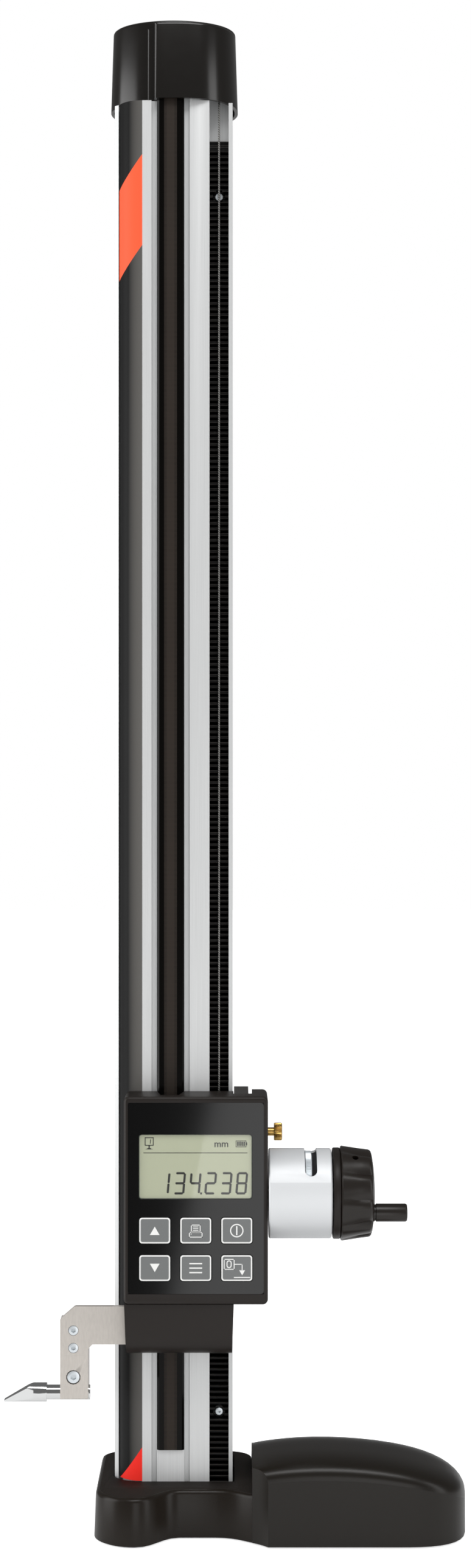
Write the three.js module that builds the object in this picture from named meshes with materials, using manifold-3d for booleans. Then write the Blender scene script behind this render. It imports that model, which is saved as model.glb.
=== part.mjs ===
// Digital height gauge with a 711 mm measuring range, as an assembly of separate pieces.
// Millimetres, +Z up. The origin lies on the surface plate, under the middle of the column's
// ground front face, which is the plane Y = 0. The user stands on the -Y side.

import * as THREE from 'three';
import { mergeVertices } from 'three/addons/utils/BufferGeometryUtils.js';
import Module from 'manifold-3d';

const wasm = await Module();
wasm.setup();

// Driving dimensions of the whole instrument
const measuringRange = 711;
const restLift = 82.3;          // height of the probe's measuring face above the plate at rest
const lowEndGap = 2.8;          // free way left under the carriage at its lowest
const highEndGap = 1.3;         // free way left over the carriage at its highest
const fitGap = 0.3;             // between pieces that are cut to each other
const slideGap = 0.6;           // between the carriage and the column's ground face
const seatGap = 0.02;           // between faces that are glued or screwed together
const runGap = 0.08;            // radial, round every shaft that turns
const overrun = 2;              // how far a cutter passes the face it cuts

// Base casting, sole and grip cover
const baseTop = 30.2;
const soleThickness = 3;
const soleInset = 2.2;
const paintLine = 1;            // the casting's lower edge stands this far off the plate
const baseLeft = 49.3;          // from the column's middle to the left edge
const baseLobeFront = 39.6;     // reach of the left lobe in front of the column
const baseWaistFront = 20.4;    // reach of the concave middle
const baseBehindColumn = 6;
const baseRearCorner = 15;
const baseTopInset = 3.6;       // how much smaller the top is than the foot, all round
const gripLeft = 50;
const gripRight = 185.2;
const gripFront = 40;
const gripRear = 54;
const gripCornerX = 60.2;       // the sharp upright edge where the waist runs out
const gripHeight = 56.3;
const gripCrestY = 8;
const gripWall = 3;
const gripRoundStart = 25;      // above this height the grip's front turns inwards
const gripEndLength = 44.5;     // length of the rounded right end

// Column
const columnWidth = 75.5;
const columnDepth = 66;
const columnSocket = 8;         // how deep the column stands in the base
const socketGap = 1;
const panelRadius = 15.5;
const panelThickness = 2.2;
const panelFlangeWidth = 2.8;
const landEdge = 19.7;          // left edge of the left ground land, left of the middle
const grooveWidth = 3.5;
const grooveDepth = 2.2;
const grooveUndercut = 1.1;
const grooveLip = 0.9;
const scaleCentre = -1.65;
const scaleWidth = 17.3;
const scaleThickness = 1.5;
const scaleFoot = 50.4;
const scaleBand = 8.2;          // width of the glass band let into the strip
const rackWidth = 12.2;
const rackCentre = 29.1;
const rackCrest = 11.3;         // how far the tooth crests lie behind the ground face
const rackBack = 17.2;
const rightWallFront = 6.2;
const rearCorner = 8;
const boreHalfWidth = 31;
const boreFront = 20.5;
const boreToBack = 5.5;
const bossSize = 10;
const tappedHole = 3.7;
const voidLeft = 26;
const voidRight = 18.5;
const voidFront = 8.5;
const voidBack = 16.5;

// Gear teeth of rack and pinion
const toothModule = 1.15;
const pinionTeeth = 28;
const pressureAngle = THREE.MathUtils.degToRad(20);
const rootShare = 1.25;
const backlash = 0.24;
const toothPitch = Math.PI * toothModule;
const pinionRadius = toothModule * pinionTeeth / 2;

// Carriage and display housing
const housingWidth = 90;
const housingLeft = 30.1;
const housingHeight = 129.9;
const housingFront = 28.2;
const housingWall = 2.4;
const housingCorner = 3.2;
const lowerCoverHeight = 32.8;
const lowerCoverRight = 38.6;
const lowerCoverFront = 26;
const lowerCoverRound = 13;
const coverJoint = 0.3;
const wingBack = 26;
const wingLeft = 38.6;
const wingRight = 47.8;
const sideBack = 9;
const shaftHeightShare = 0.5058;  // the drive shaft's height as a share of the housing's

// Fine-adjustment drive
const sleeveRadius = 28.33;
const sleeveWall = 1.4;
const sleeveEnd = 100.1;
const flangeStart = 101;
const gripStart = 105.9;
const gripEnd = 124.4;
const knobDome = 1.6;
const knobRadius = 29.7;
const knobEndRadius = 27.4;
const knobFlutes = 10;
const crankRadius = 18;
const crankDrop = 9.7;
const crankLength = 21.8;
const handleRadius = 5.65;

// Probe arm
const armFront = 12;
const armThickness = 4;
const armLeft = 71;
const armTopAbove = 28.7;       // above the carriage's lower edge
const armHeight = 24;
const legWidth = 17.6;
const legDrop = 7;
const blockHeight = 27.6;
const blockDepth = 15;
const probePinRadius = 4.65;

// Cap, pulley and cable
const capHeight = 52.2;
const capOverhang = 3.35;       // how far the cap stands out at the column's sides
const capFront = 5;
const capWall = 2;
const capDraft = 1.6;
const capRound = 3.4;
const columnInCap = 5.7;
const cableRadius = 0.6;
const cableY = 10.1;
const weightX = 6;
const weightLength = 165;
const weightMargin = 4;
const weightFront = 1;          // between the bore's front and the weight
const weightBack = 10;

// Places worked out from the driving dimensions
const carriageBottom = baseTop + lowEndGap + restLift;
const carriageTop = carriageBottom + lowerCoverHeight + coverJoint + housingHeight;
const capBottom = carriageTop + measuringRange - restLift + highEndGap;
const capTop = capBottom + capHeight;
const columnFoot = baseTop - columnSocket;
const columnTop = capBottom + columnInCap;
const columnHalf = columnWidth / 2;
const boreBack = columnDepth - boreToBack;
const baseRear = columnDepth + baseBehindColumn;
const capMiddleY = columnDepth / 2;
const weightHalfY = (boreBack - boreFront - weightFront - weightBack) / 2;
const weightY = boreFront + weightFront + weightHalfY;
const capHalfWidth = columnHalf + capOverhang;
const shaftY = rackCrest + toothModule - pinionRadius;
const housingBottom = carriageTop - housingHeight;
const shaftZ = housingBottom + housingHeight * shaftHeightShare;
const scaleLeft = scaleCentre - scaleWidth / 2;
const scaleRight = scaleCentre + scaleWidth / 2;
const rackLeft = rackCentre - rackWidth / 2;
const rackRight = rackCentre + rackWidth / 2;
const housingRight = housingWidth - housingLeft;

// Finishes
const finish = (color, metalness, roughness) =>
  new THREE.MeshStandardMaterial({ color, metalness, roughness });
const castingPaint = finish(0x47413c, 0.1, 0.45);
const gripPlastic = finish(0x3a3531, 0, 0.4);
const glossPlastic = finish(0x2b2825, 0, 0.2);
const housingPlastic = finish(0x2f2b28, 0, 0.35);
const groundSteel = finish(0xb9b7b2, 1, 0.25);
const aluminium = finish(0xcfd0cf, 1, 0.35);
const satinNickel = finish(0xcfc6bc, 1, 0.35);
const darkSteel = finish(0x1f1e1d, 0.9, 0.4);
const zincSteel = finish(0xd5dadb, 1, 0.3);
const castIron = finish(0x55524e, 0.8, 0.6);
const brass = finish(0xc8a05a, 1, 0.3);
const bronze = finish(0xa97c4a, 1, 0.4);
const textureBlack = finish(0x1c1b1a, 0, 0.6);
const scaleBlack = finish(0x0c0b0b, 0, 0.4);
const scaleGlass = finish(0x4a3d36, 0, 0.15);
const keyGrey = finish(0x76787a, 0, 0.5);
const panelBlack = finish(0x161616, 0, 0.45);
const lcdGrey = finish(0xb9be9f, 0, 0.1);
const boardGreen = finish(0x24573a, 0, 0.6);
const polymer = finish(0xe6e2d8, 0, 0.5);

// A closed geometry becomes a solid whose faces point outwards
function solidOf(geometry) {
  const bare = geometry.index ? geometry.toNonIndexed() : geometry.clone();
  bare.deleteAttribute('normal');
  bare.deleteAttribute('uv');
  const merged = mergeVertices(bare, 1e-4);
  const place = Array.from(merged.attributes.position.array);
  const faces = [];
  const corner = (n) => new THREE.Vector3().fromArray(place, 3 * n);
  let volume = 0;
  for (let i = 0; i < merged.index.count; i += 3) {
    const [a, b, c] = [0, 1, 2].map((n) => merged.index.array[i + n]);
    if (a === b || b === c || c === a) continue;
    faces.push([a, b, c]);
    volume += corner(a).dot(corner(b).cross(corner(c)));
  }
  const turned = volume < 0 ? faces.map(([a, b, c]) => [a, c, b]) : faces;
  return new wasm.Manifold(new wasm.Mesh({
    numProp: 3,
    vertProperties: new Float32Array(place),
    triVerts: new Uint32Array(turned.flat()),
  }));
}

// A named mesh from a solid
function piece(name, solid, material) {
  const data = solid.getMesh();
  const geometry = new THREE.BufferGeometry();
  geometry.setAttribute('position', new THREE.BufferAttribute(data.vertProperties, 3));
  geometry.setIndex(new THREE.BufferAttribute(data.triVerts, 1));
  geometry.computeVertexNormals();
  const mesh = new THREE.Mesh(geometry, material);
  mesh.name = name;
  return mesh;
}

// Prisms on an outline: along Z from (x, y), along X from (y, z), along Y from (x, z)
const alongX = new THREE.Matrix4().makeBasis(
  new THREE.Vector3(0, 1, 0), new THREE.Vector3(0, 0, 1), new THREE.Vector3(1, 0, 0));
const alongY = new THREE.Matrix4().makeBasis(
  new THREE.Vector3(1, 0, 0), new THREE.Vector3(0, 0, 1), new THREE.Vector3(0, -1, 0));

function extruded(shape, depth, curveSegments) {
  return new THREE.ExtrudeGeometry(shape, { depth, bevelEnabled: false, curveSegments });
}

function prismZ(shape, low, high, curveSegments = 8) {
  return solidOf(extruded(shape, high - low, curveSegments).translate(0, 0, low));
}

function prismX(shape, low, high, curveSegments = 8) {
  return solidOf(extruded(shape, high - low, curveSegments).applyMatrix4(alongX).translate(low, 0, 0));
}

function prismY(shape, low, high, curveSegments = 8) {
  return solidOf(extruded(shape, high - low, curveSegments).applyMatrix4(alongY).translate(0, high, 0));
}

function box(x, y, z) {
  const size = [x, y, z].map(([low, high]) => high - low);
  const middle = [x, y, z].map(([low, high]) => (high + low) / 2);
  return solidOf(new THREE.BoxGeometry(...size).translate(...middle));
}

// Turned pieces: the profile is a list of [place along the axis, radius]
function turned(profile, sides) {
  const points = profile.map(([along, radius]) => new THREE.Vector2(radius, along));
  return new THREE.LatheGeometry(points, sides);
}

function turnedX(profile, y, z, sides = 24) {
  return solidOf(turned(profile, sides).rotateZ(-Math.PI / 2).translate(0, y, z));
}

function turnedY(profile, x, z, sides = 14) {
  return solidOf(turned(profile, sides).translate(x, 0, z));
}

function turnedZ(profile, x, y, sides = 16) {
  return solidOf(turned(profile, sides).rotateX(Math.PI / 2).translate(x, y, 0));
}

const rod = (low, high, radius) => [[low, 0], [low, radius], [high, radius], [high, 0]];

// Outlines
function outline(points) {
  return new THREE.Shape(points.map(([a, b]) => new THREE.Vector2(a, b)));
}

function roundedRectangle(left, right, low, high, radius) {
  const shape = new THREE.Shape();
  shape.moveTo(left + radius, low);
  shape.lineTo(right - radius, low);
  shape.absarc(right - radius, low + radius, radius, -Math.PI / 2, 0);
  shape.lineTo(right, high - radius);
  shape.absarc(right - radius, high - radius, radius, 0, Math.PI / 2);
  shape.lineTo(left + radius, high);
  shape.absarc(left + radius, high - radius, radius, Math.PI / 2, Math.PI);
  shape.lineTo(left, low + radius);
  shape.absarc(left + radius, low + radius, radius, Math.PI, Math.PI * 1.5);
  return shape;
}

// A ring of plan points moved inwards along its own normals
function insetRing(points, inset) {
  const count = points.length;
  return points.map((point, i) => {
    const before = points[(i + count - 1) % count];
    const after = points[(i + 1) % count];
    const arrive = point.clone().sub(before).normalize();
    const leave = after.clone().sub(point).normalize();
    const normal = new THREE.Vector2(-(arrive.y + leave.y), arrive.x + leave.x).normalize();
    const mitre = Math.max(normal.dot(new THREE.Vector2(-leave.y, leave.x)), 0.5);
    return point.clone().addScaledVector(normal, inset / mitre);
  });
}

// A closed skin through rings of equal count, flat at both ends
function loft(rings) {
  const count = rings[0].length;
  const places = rings.flat().flatMap((point) => point.toArray());
  const faces = [];
  for (let ring = 0; ring < rings.length - 1; ring += 1) {
    for (let i = 0; i < count; i += 1) {
      const next = (i + 1) % count;
      const here = ring * count;
      const above = here + count;
      faces.push(here + i, here + next, above + next, here + i, above + next, above + i);
    }
  }
  const spread = (axis) => Math.max(...rings[0].map((point) => point[axis]))
    - Math.min(...rings[0].map((point) => point[axis]));
  const flat = spread('x') < spread('z')
    ? (point) => new THREE.Vector2(point.y, point.z) : (point) => new THREE.Vector2(point.x, point.y);
  const close = (ring, first, sense) => {
    const flatRing = ring.map(flat);
    const ringSense = Math.sign(THREE.ShapeUtils.area(flatRing)) * sense;
    for (const [a, b, c] of THREE.ShapeUtils.triangulateShape(flatRing, [])) {
      const same = THREE.ShapeUtils.area([flatRing[a], flatRing[b], flatRing[c]]) * ringSense > 0;
      faces.push(first + a, first + (same ? b : c), first + (same ? c : b));
    }
  };
  close(rings[0], 0, -1);
  close(rings.at(-1), (rings.length - 1) * count, 1);
  const geometry = new THREE.BufferGeometry();
  geometry.setAttribute('position', new THREE.Float32BufferAttribute(places, 3));
  geometry.setIndex(faces);
  return solidOf(geometry);
}

// A plan outline drawn up through [height, inset] steps, as a drafted moulding or casting is
function drafted(plan, steps) {
  return loft(steps.map(([height, inset]) =>
    insetRing(plan, inset).map((point) => new THREE.Vector3(point.x, point.y, height))));
}

const superellipse = (share, power) => (1 - Math.abs(share) ** power) ** (1 / power);

// The steps of a top edge rounded with a radius
function roundedEdge(top, radius, inset, count) {
  const steps = [];
  for (let i = 0; i <= count; i += 1) {
    const turn = (i / count) * Math.PI / 2;
    steps.push([top - radius + radius * Math.sin(turn), inset + radius * (1 - Math.cos(turn))]);
  }
  return steps;
}

// Base casting: a drafted body with a left lobe, a concave waist and a wing under the grip
const baseWaistEnd = 30.5;       // reach of the waist's outline where it meets the grip
const lobeWidth = 26.3;
const lobeDepth = 25.6;
const waistStart = 4.6;
const waistEndX = 27;
const edgeRound = 2.6;
const wingTop = 20;
const wingMargin = 8;           // between the wing and the grip's outside
const boltHeadRadius = 6.5;
const boltHeadHeight = 8;
const boltRadius = 3.3;
const boltReach = 16;

function basePlan() {
  const shape = new THREE.Shape();
  shape.moveTo(-baseLeft, baseRear - baseRearCorner);
  shape.absellipse(lobeWidth - baseLeft, lobeDepth - baseLobeFront, lobeWidth, lobeDepth,
    Math.PI, Math.PI * 1.5);
  const lobeEnd = lobeWidth - baseLeft;
  shape.bezierCurveTo(lobeEnd + lobeWidth / 2, -baseLobeFront,
    waistStart - lobeWidth / 2.5, -baseWaistFront, waistStart, -baseWaistFront);
  shape.lineTo(waistEndX, -baseWaistFront);
  shape.bezierCurveTo(waistEndX + (gripLeft - waistEndX) / 2, -baseWaistFront,
    waistEndX + (gripLeft - waistEndX) * 0.7, -baseWaistEnd + edgeRound * 1.6,
    gripLeft, -baseWaistEnd);
  shape.lineTo(gripCornerX, -gripFront);
  shape.lineTo(gripCornerX, baseRear);
  shape.lineTo(gripLeft - baseRearCorner, baseRear);
  shape.lineTo(baseRearCorner - baseLeft, baseRear);
  shape.absarc(baseRearCorner - baseLeft, baseRear - baseRearCorner, baseRearCorner,
    Math.PI / 2, Math.PI);
  return shape.getPoints(6).filter((point, i, all) =>
    point.distanceTo(all[(i + 1) % all.length]) > 0.01);
}

// The plan drawn up in steps, ending at the grip with a rounded rear corner
function baseBody(steps, margin) {
  const right = gripLeft - seatGap + margin;
  const rear = baseRear + margin - steps.at(-1)[1];
  const corner = new THREE.Shape();
  corner.moveTo(right, -gripFront * 2);
  corner.lineTo(gripCornerX * 2, -gripFront * 2);
  corner.lineTo(gripCornerX * 2, baseRear * 2);
  corner.lineTo(right - baseRearCorner, baseRear * 2);
  corner.lineTo(right - baseRearCorner, rear);
  corner.absarc(right - baseRearCorner, rear - baseRearCorner, baseRearCorner, Math.PI / 2, 0, true);
  return drafted(basePlan(), steps)
    .subtract(prismZ(corner, -baseTop, baseTop * 2));
}

const wingRightEnd = gripRight - gripEndLength / 2;
function wingPlan(margin) {
  const front = wingMargin - gripFront - margin;
  const rear = gripRear - wingMargin + margin;
  const right = wingRightEnd + margin;
  const corner = wingMargin / 2;
  return outline([[gripLeft - wingMargin, rear], [gripLeft - wingMargin, wingMargin - baseWaistFront],
    [gripLeft - margin, wingMargin - baseWaistEnd - margin], [gripCornerX - margin, front],
    [right - corner, front], [right, front + corner], [right, rear - corner], [right - corner, rear]]);
}

// The column's outside, with a gap at its sides and rear and another at its front
function columnOutside(sideGap, frontGap) {
  const shape = new THREE.Shape();
  const half = columnHalf + sideGap;
  const back = columnDepth + sideGap;
  const corner = rearCorner + sideGap;
  shape.moveTo(-half, panelRadius);
  shape.absellipse(-landEdge, panelRadius, half - landEdge, panelRadius + frontGap,
    Math.PI, Math.PI * 1.5);
  shape.lineTo(half, -frontGap);
  shape.lineTo(half, back - corner);
  shape.absarc(half - corner, back - corner, corner, 0, Math.PI / 2);
  shape.absarc(corner - half, back - corner, corner, Math.PI / 2, Math.PI);
  return shape;
}

const boltPlaces = [-1, 1].flatMap((side) => [boreFront, boreBack].map((depth, i) =>
  [side * (boreHalfWidth - bossSize / 2), depth + (i === 0 ? bossSize : -bossSize) / 2]));

const sole = baseBody([[0, soleInset], [soleThickness, soleInset]], 0)
  .add(prismZ(wingPlan(-soleInset), 0, soleThickness, 2));

function makeBase() {
  const body = baseBody([
    [paintLine, 0], ...roundedEdge(baseTop, edgeRound, baseTopInset - edgeRound, 2)], 0);
  let casting = body.add(prismZ(wingPlan(0), soleThickness, wingTop, 2));
  const soleRoom = baseBody([
    [0, soleInset - fitGap], [soleThickness + seatGap, soleInset - fitGap]], 0);
  casting = casting.subtract(soleRoom)
    .subtract(prismZ(wingPlan(0), 0, soleThickness + seatGap, 2))
    .subtract(prismZ(columnOutside(socketGap, fitGap), columnFoot, baseTop + overrun));
  for (const [x, y] of boltPlaces) {
    const headTop = soleThickness + boltHeadHeight + fitGap;
    casting = casting
      .subtract(turnedZ(rod(0, headTop, boltHeadRadius + fitGap), x, y, 12))
      .subtract(turnedZ(rod(0, columnFoot + overrun, boltRadius + fitGap), x, y, 8));
  }
  return casting;
}

function makeColumnBolt(x, y) {
  const headTop = soleThickness + boltHeadHeight + fitGap;
  const head = turnedZ(rod(headTop - boltHeadHeight, headTop, boltHeadRadius), x, y, 12);
  const shank = turnedZ(rod(headTop - boltHeadHeight / 2, columnFoot + boltReach, boltRadius), x, y, 8);
  const socket = turnedZ(rod(0, headTop - boltHeadHeight / 2, boltRadius), x, y, 6);
  return head.add(shank).subtract(socket);
}

// Grip cover: a palm rest lofted along X, crowned both ways, with a rounded right end
const gripEndShare = 0.37;      // height of the crest at the far right
const gripPeakShare = 0.32;     // where along the grip the crest is highest
const gripLeftDropShare = 0.075;
const gripSectionPower = 3.1;
const gripEndPower = 2.2;
const gripEndCentreY = 5;
const gripStationCount = 5;
const gripEndCount = 7;
const gripSectionCount = 14;
const cornerHollow = 40.75;     // radius of the hollow upright corner beside the base
const hollowSteps = 6;

function gripCrest(x) {
  const share = (x - gripLeft) / (gripRight - gripLeft);
  if (share < gripPeakShare) {
    return gripHeight * (1 - gripLeftDropShare * (1 - share / gripPeakShare) ** 2);
  }
  const fall = (share - gripPeakShare) / (1 - gripPeakShare);
  return gripHeight * (gripEndShare + (1 - gripEndShare) * superellipse(Math.min(fall, 1), 2));
}

function gripLoft(wall, low, sectionCount) {
  const endStart = gripRight - gripEndLength;
  const stations = [];
  for (let i = 0; i < gripStationCount; i += 1) {
    stations.push([gripLeft + wall + (endStart - gripLeft - wall) * (i / gripStationCount), 1]);
  }
  for (let i = 0; i <= gripEndCount; i += 1) {
    const turn = (i / gripEndCount) * Math.PI * 0.495;
    stations.push([endStart + (gripEndLength - wall) * Math.sin(turn),
      superellipse(Math.sin(turn), gripEndPower)]);
  }
  const rings = stations.map(([x, width]) => {
    const along = Math.max(0, (x - endStart) / gripEndLength);
    const crestY = gripCrestY + (gripEndCentreY - gripCrestY) * along;
    const front = gripEndCentreY - (gripFront + gripEndCentreY - wall) * width;
    const rear = gripEndCentreY + (gripRear - gripEndCentreY - wall) * width;
    const crest = gripCrest(x + wall) - wall;
    const start = crest * (gripRoundStart / gripHeight);
    const ring = [new THREE.Vector3(x, rear, low), new THREE.Vector3(x, front, low)];
    for (let i = 0; i <= sectionCount; i += 1) {
      const turn = Math.PI * (i / sectionCount - 0.5);
      const across = Math.abs(Math.sin(turn)) ** (2 / gripSectionPower);
      const up = Math.abs(Math.cos(turn)) ** (2 / gripSectionPower);
      const y = turn < 0 ? crestY + (front - crestY) * across : crestY + (rear - crestY) * across;
      ring.push(new THREE.Vector3(x, y, start + (crest - start) * up));
    }
    return ring.reverse();
  });
  return loft(rings);
}

function makeGripCover() {
  const start = new THREE.Vector2(gripCornerX, edgeRound / 4 - gripFront);
  const end = new THREE.Vector2(gripLeft, -baseWaistEnd);
  const half = start.distanceTo(end) / 2;
  const away = start.clone().sub(end).rotateAround(new THREE.Vector2(), -Math.PI / 2).normalize();
  const centre = start.clone().add(end).divideScalar(2)
    .addScaledVector(away, Math.sqrt(cornerHollow ** 2 - half ** 2));
  const from = Math.atan2(start.y - centre.y, start.x - centre.x);
  const to = Math.atan2(end.y - centre.y, end.x - centre.x) + overrun * 2 / cornerHollow;
  const arc = Array.from({ length: hollowSteps + 1 }, (unused, i) => {
    const turn = from + (to - from) * (i / hollowSteps);
    return [centre.x + cornerHollow * Math.cos(turn), centre.y + cornerHollow * Math.sin(turn)];
  });
  const cornerCut = outline([[arc.at(-1)[0], -gripFront - overrun],
    [gripCornerX, -gripFront - overrun], ...arc]);
  const inside = new THREE.Shape();
  const insideRight = gripCornerX + gripWall;
  inside.moveTo(gripLeft, -gripFront);
  inside.lineTo(insideRight, -gripFront);
  inside.lineTo(insideRight, gripWall - gripFront);
  inside.lineTo(gripLeft, gripWall * 2 - baseWaistEnd);
  const cavity = gripLoft(gripWall, -overrun, gripSectionCount - 4)
    .subtract(prismZ(inside, -overrun * 2, gripHeight));
  return gripLoft(0, paintLine, gripSectionCount)
    .subtract(prismZ(cornerCut, 0, gripHeight + overrun))
    .subtract(cavity)
    .subtract(prismZ(wingPlan(fitGap), 0, wingTop + fitGap, 2))
    .subtract(baseBody([[0, -fitGap], [baseTop, -fitGap]], 0));
}

// Column: an extruded section with ground lands, hooked guide grooves and a rack channel
function columnSection() {
  const shape = new THREE.Shape();
  const flangeFront = panelRadius - panelThickness;
  const lip = grooveLip;
  const inner = panelRadius - panelThickness;
  const groove = (mouthLeft, mouthRight, hookSide) => {
    const wideLeft = mouthLeft - (hookSide < 0 ? grooveUndercut : 0);
    const wideRight = mouthRight + (hookSide > 0 ? grooveUndercut : 0);
    shape.lineTo(mouthLeft, 0);
    shape.lineTo(mouthLeft, lip);
    shape.lineTo(wideLeft, lip);
    shape.lineTo(wideLeft, grooveDepth);
    shape.lineTo(wideRight, grooveDepth);
    shape.lineTo(wideRight, lip);
    shape.lineTo(mouthRight, lip);
    shape.lineTo(mouthRight, 0);
  };
  shape.moveTo(-columnHalf, flangeFront);
  shape.lineTo(-landEdge - panelRadius - seatGap * 2, flangeFront - panelThickness);
  shape.lineTo(-landEdge - panelRadius - seatGap * 2, panelRadius);
  shape.lineTo(-landEdge - inner, panelRadius);
  shape.absarc(-landEdge, panelRadius, inner, Math.PI, Math.PI * 1.5);
  shape.lineTo(-landEdge, 0);
  groove(scaleLeft - grooveWidth, scaleLeft, -1);
  groove(scaleRight, scaleRight + grooveWidth, 1);
  shape.lineTo(rackLeft - seatGap, 0);
  shape.lineTo(rackLeft - seatGap, rackBack);
  shape.lineTo(rackRight + seatGap, rackBack);
  shape.lineTo(rackRight + seatGap, rightWallFront);
  shape.lineTo(columnHalf - seatGap, rightWallFront);
  shape.lineTo(columnHalf, rightWallFront + lip);
  shape.lineTo(columnHalf, columnDepth - rearCorner);
  shape.absarc(columnHalf - rearCorner, columnDepth - rearCorner, rearCorner, 0, Math.PI / 2);
  shape.absarc(rearCorner - columnHalf, columnDepth - rearCorner, rearCorner,
    Math.PI / 2, Math.PI);
  const bore = outline([
    [-boreHalfWidth + bossSize, boreFront], [boreHalfWidth - bossSize, boreFront],
    [boreHalfWidth - bossSize, boreFront + bossSize], [boreHalfWidth, boreFront + bossSize],
    [boreHalfWidth, boreBack - bossSize], [boreHalfWidth - bossSize, boreBack - bossSize],
    [boreHalfWidth - bossSize, boreBack], [-boreHalfWidth + bossSize, boreBack],
    [-boreHalfWidth + bossSize, boreBack - bossSize], [-boreHalfWidth, boreBack - bossSize],
    [-boreHalfWidth, boreFront + bossSize], [-boreHalfWidth + bossSize, boreFront + bossSize]]);
  const lightening = outline([
    [-voidLeft, voidBack - lip], [-landEdge, voidFront], [voidRight, voidFront],
    [voidRight, voidBack], [-voidLeft + lip, voidBack]]);
  shape.holes.push(bore, lightening);
  for (const [x, y] of boltPlaces) {
    const hole = new THREE.Path();
    hole.absarc(x, y, tappedHole, 0, Math.PI * 2);
    shape.holes.push(hole);
  }
  return shape;
}

// Cap: three drafted mouldings in one, the right one in front of the left one
const capPower = 2.25;
const capLeftReach = 29.7;
const capRibReach = 30.5;
const capRibLeft = 16.4;
const capEdgeX = 12.6;
const capEdgeReach = 5.2;
const capEdgeY = 1.2;
const capSides = 48;

function capPlan(frontReach, frontPower, sides) {
  const rearReach = capMiddleY + capFront;
  const points = [];
  for (let i = 0; i < sides; i += 1) {
    const turn = (i / sides) * Math.PI * 2;
    const inFront = Math.sin(turn) < 0;
    const power = inFront ? frontPower : capPower;
    const reach = inFront ? frontReach : rearReach;
    const across = Math.sign(Math.cos(turn)) * Math.abs(Math.cos(turn)) ** (2 / power);
    const deep = Math.sign(Math.sin(turn)) * Math.abs(Math.sin(turn)) ** (2 / power);
    points.push(new THREE.Vector2(capHalfWidth * across, capMiddleY + reach * deep));
  }
  return points;
}

function capMoulding(plan, wall, low, top, round) {
  const rise = (top - low) / capHeight;
  return drafted(plan, [[low, wall],
    ...roundedEdge(top, round, wall + capDraft * rise, wall > 0 ? 1 : 3)]);
}

function capBody(wall, low, top, round) {
  const sides = wall > 0 ? capSides * 0.75 : capSides;
  const mould = (frontReach, power, height) =>
    capMoulding(capPlan(frontReach, power, sides), wall, low, height, round);
  const front = mould(capMiddleY + capFront, capPower, top);
  const left = mould(capLeftReach, 2, top);
  const rib = mould(capRibReach, capPower, top - round);
  const cut = new THREE.Shape();
  const edge = capEdgeX - wall;
  cut.moveTo(-capHalfWidth - overrun, -capFront - overrun);
  cut.lineTo(capEdgeReach - edge, -capFront - overrun);
  cut.absellipse(capEdgeReach - edge, capEdgeY, capEdgeReach, capEdgeY + capFront + overrun,
    Math.PI * 1.5, Math.PI, true);
  cut.lineTo(-edge, capMiddleY);
  cut.lineTo(-capHalfWidth - overrun, capMiddleY);
  const ribRoom = box([-capRibLeft + wall, 0], [-capFront, capMiddleY], [low - overrun, top]);
  return front.subtract(prismZ(cut, low - overrun, top + overrun))
    .add(left).add(rib.intersect(ribRoom));
}

const capInside = capBody(capWall, capBottom - overrun, capTop - capWall, capRound - capWall / 2);
const capRoom = capBody(capWall + fitGap, capBottom - overrun, capTop - capWall - fitGap,
  capRound - capWall / 2);

function makeColumn() {
  const whole = prismZ(columnSection(), columnFoot, columnTop, 6);
  const overCap = box([-capHalfWidth * 2, capHalfWidth * 2], [-capHalfWidth, capHalfWidth * 3],
    [capBottom - fitGap, columnTop + overrun]);
  return whole.subtract(overCap.subtract(capRoom));
}

// The textured panel that wraps the column's front left corner
function makeSidePanel() {
  const shape = new THREE.Shape();
  const outer = panelRadius;
  const inner = panelRadius - panelThickness + seatGap;
  const sweep = Math.PI + Math.asin(panelFlangeWidth / panelRadius);
  shape.moveTo(-landEdge - seatGap, 0);
  shape.absarc(-landEdge - seatGap, panelRadius, outer, Math.PI * 1.5, sweep, true);
  shape.absarc(-landEdge - seatGap, panelRadius, inner, sweep, Math.PI * 1.5, false);
  return prismZ(shape, baseTop + fitGap, capBottom - fitGap, 7);
}

// Scale strip with bevelled long edges, and the graduated glass band let into it
const bandDepth = 0.4;
const stripBevel = 1.4;

function makeScaleStrip() {
  const top = capBottom + columnInCap / 2;
  const shape = outline([[scaleLeft, -seatGap], [scaleLeft, stripBevel - scaleThickness],
    [scaleLeft + stripBevel, -scaleThickness], [scaleRight - stripBevel, -scaleThickness],
    [scaleRight, stripBevel - scaleThickness], [scaleRight, -seatGap]]);
  return prismZ(shape, scaleFoot, top)
    .subtract(box([scaleCentre - scaleBand / 2, scaleCentre + scaleBand / 2],
      [-scaleThickness - overrun, bandDepth - scaleThickness],
      [scaleFoot - overrun, top + overrun]));
}

const makeScaleBand = () => box(
  [scaleCentre - scaleBand / 2 + seatGap, scaleCentre + scaleBand / 2 - seatGap],
  [-scaleThickness, bandDepth - scaleThickness - seatGap],
  [scaleFoot, capBottom + columnInCap / 2]);

// Rack: trapezoid teeth whose middle one faces the pinion at rest
const rackTopGap = 22.5;        // the rack stops this far under the cap
const rackScrewUnder = 36;      // the upper screw sits this far under the rack's end
const rackScrewFoot = 71.1;
const rackRootDepth = (toothPitch + backlash) / 4 / Math.tan(pressureAngle);
const screwHeadRadius = 3.9;
const screwHeadHeight = 2;
const screwShankRadius = 2;

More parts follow.
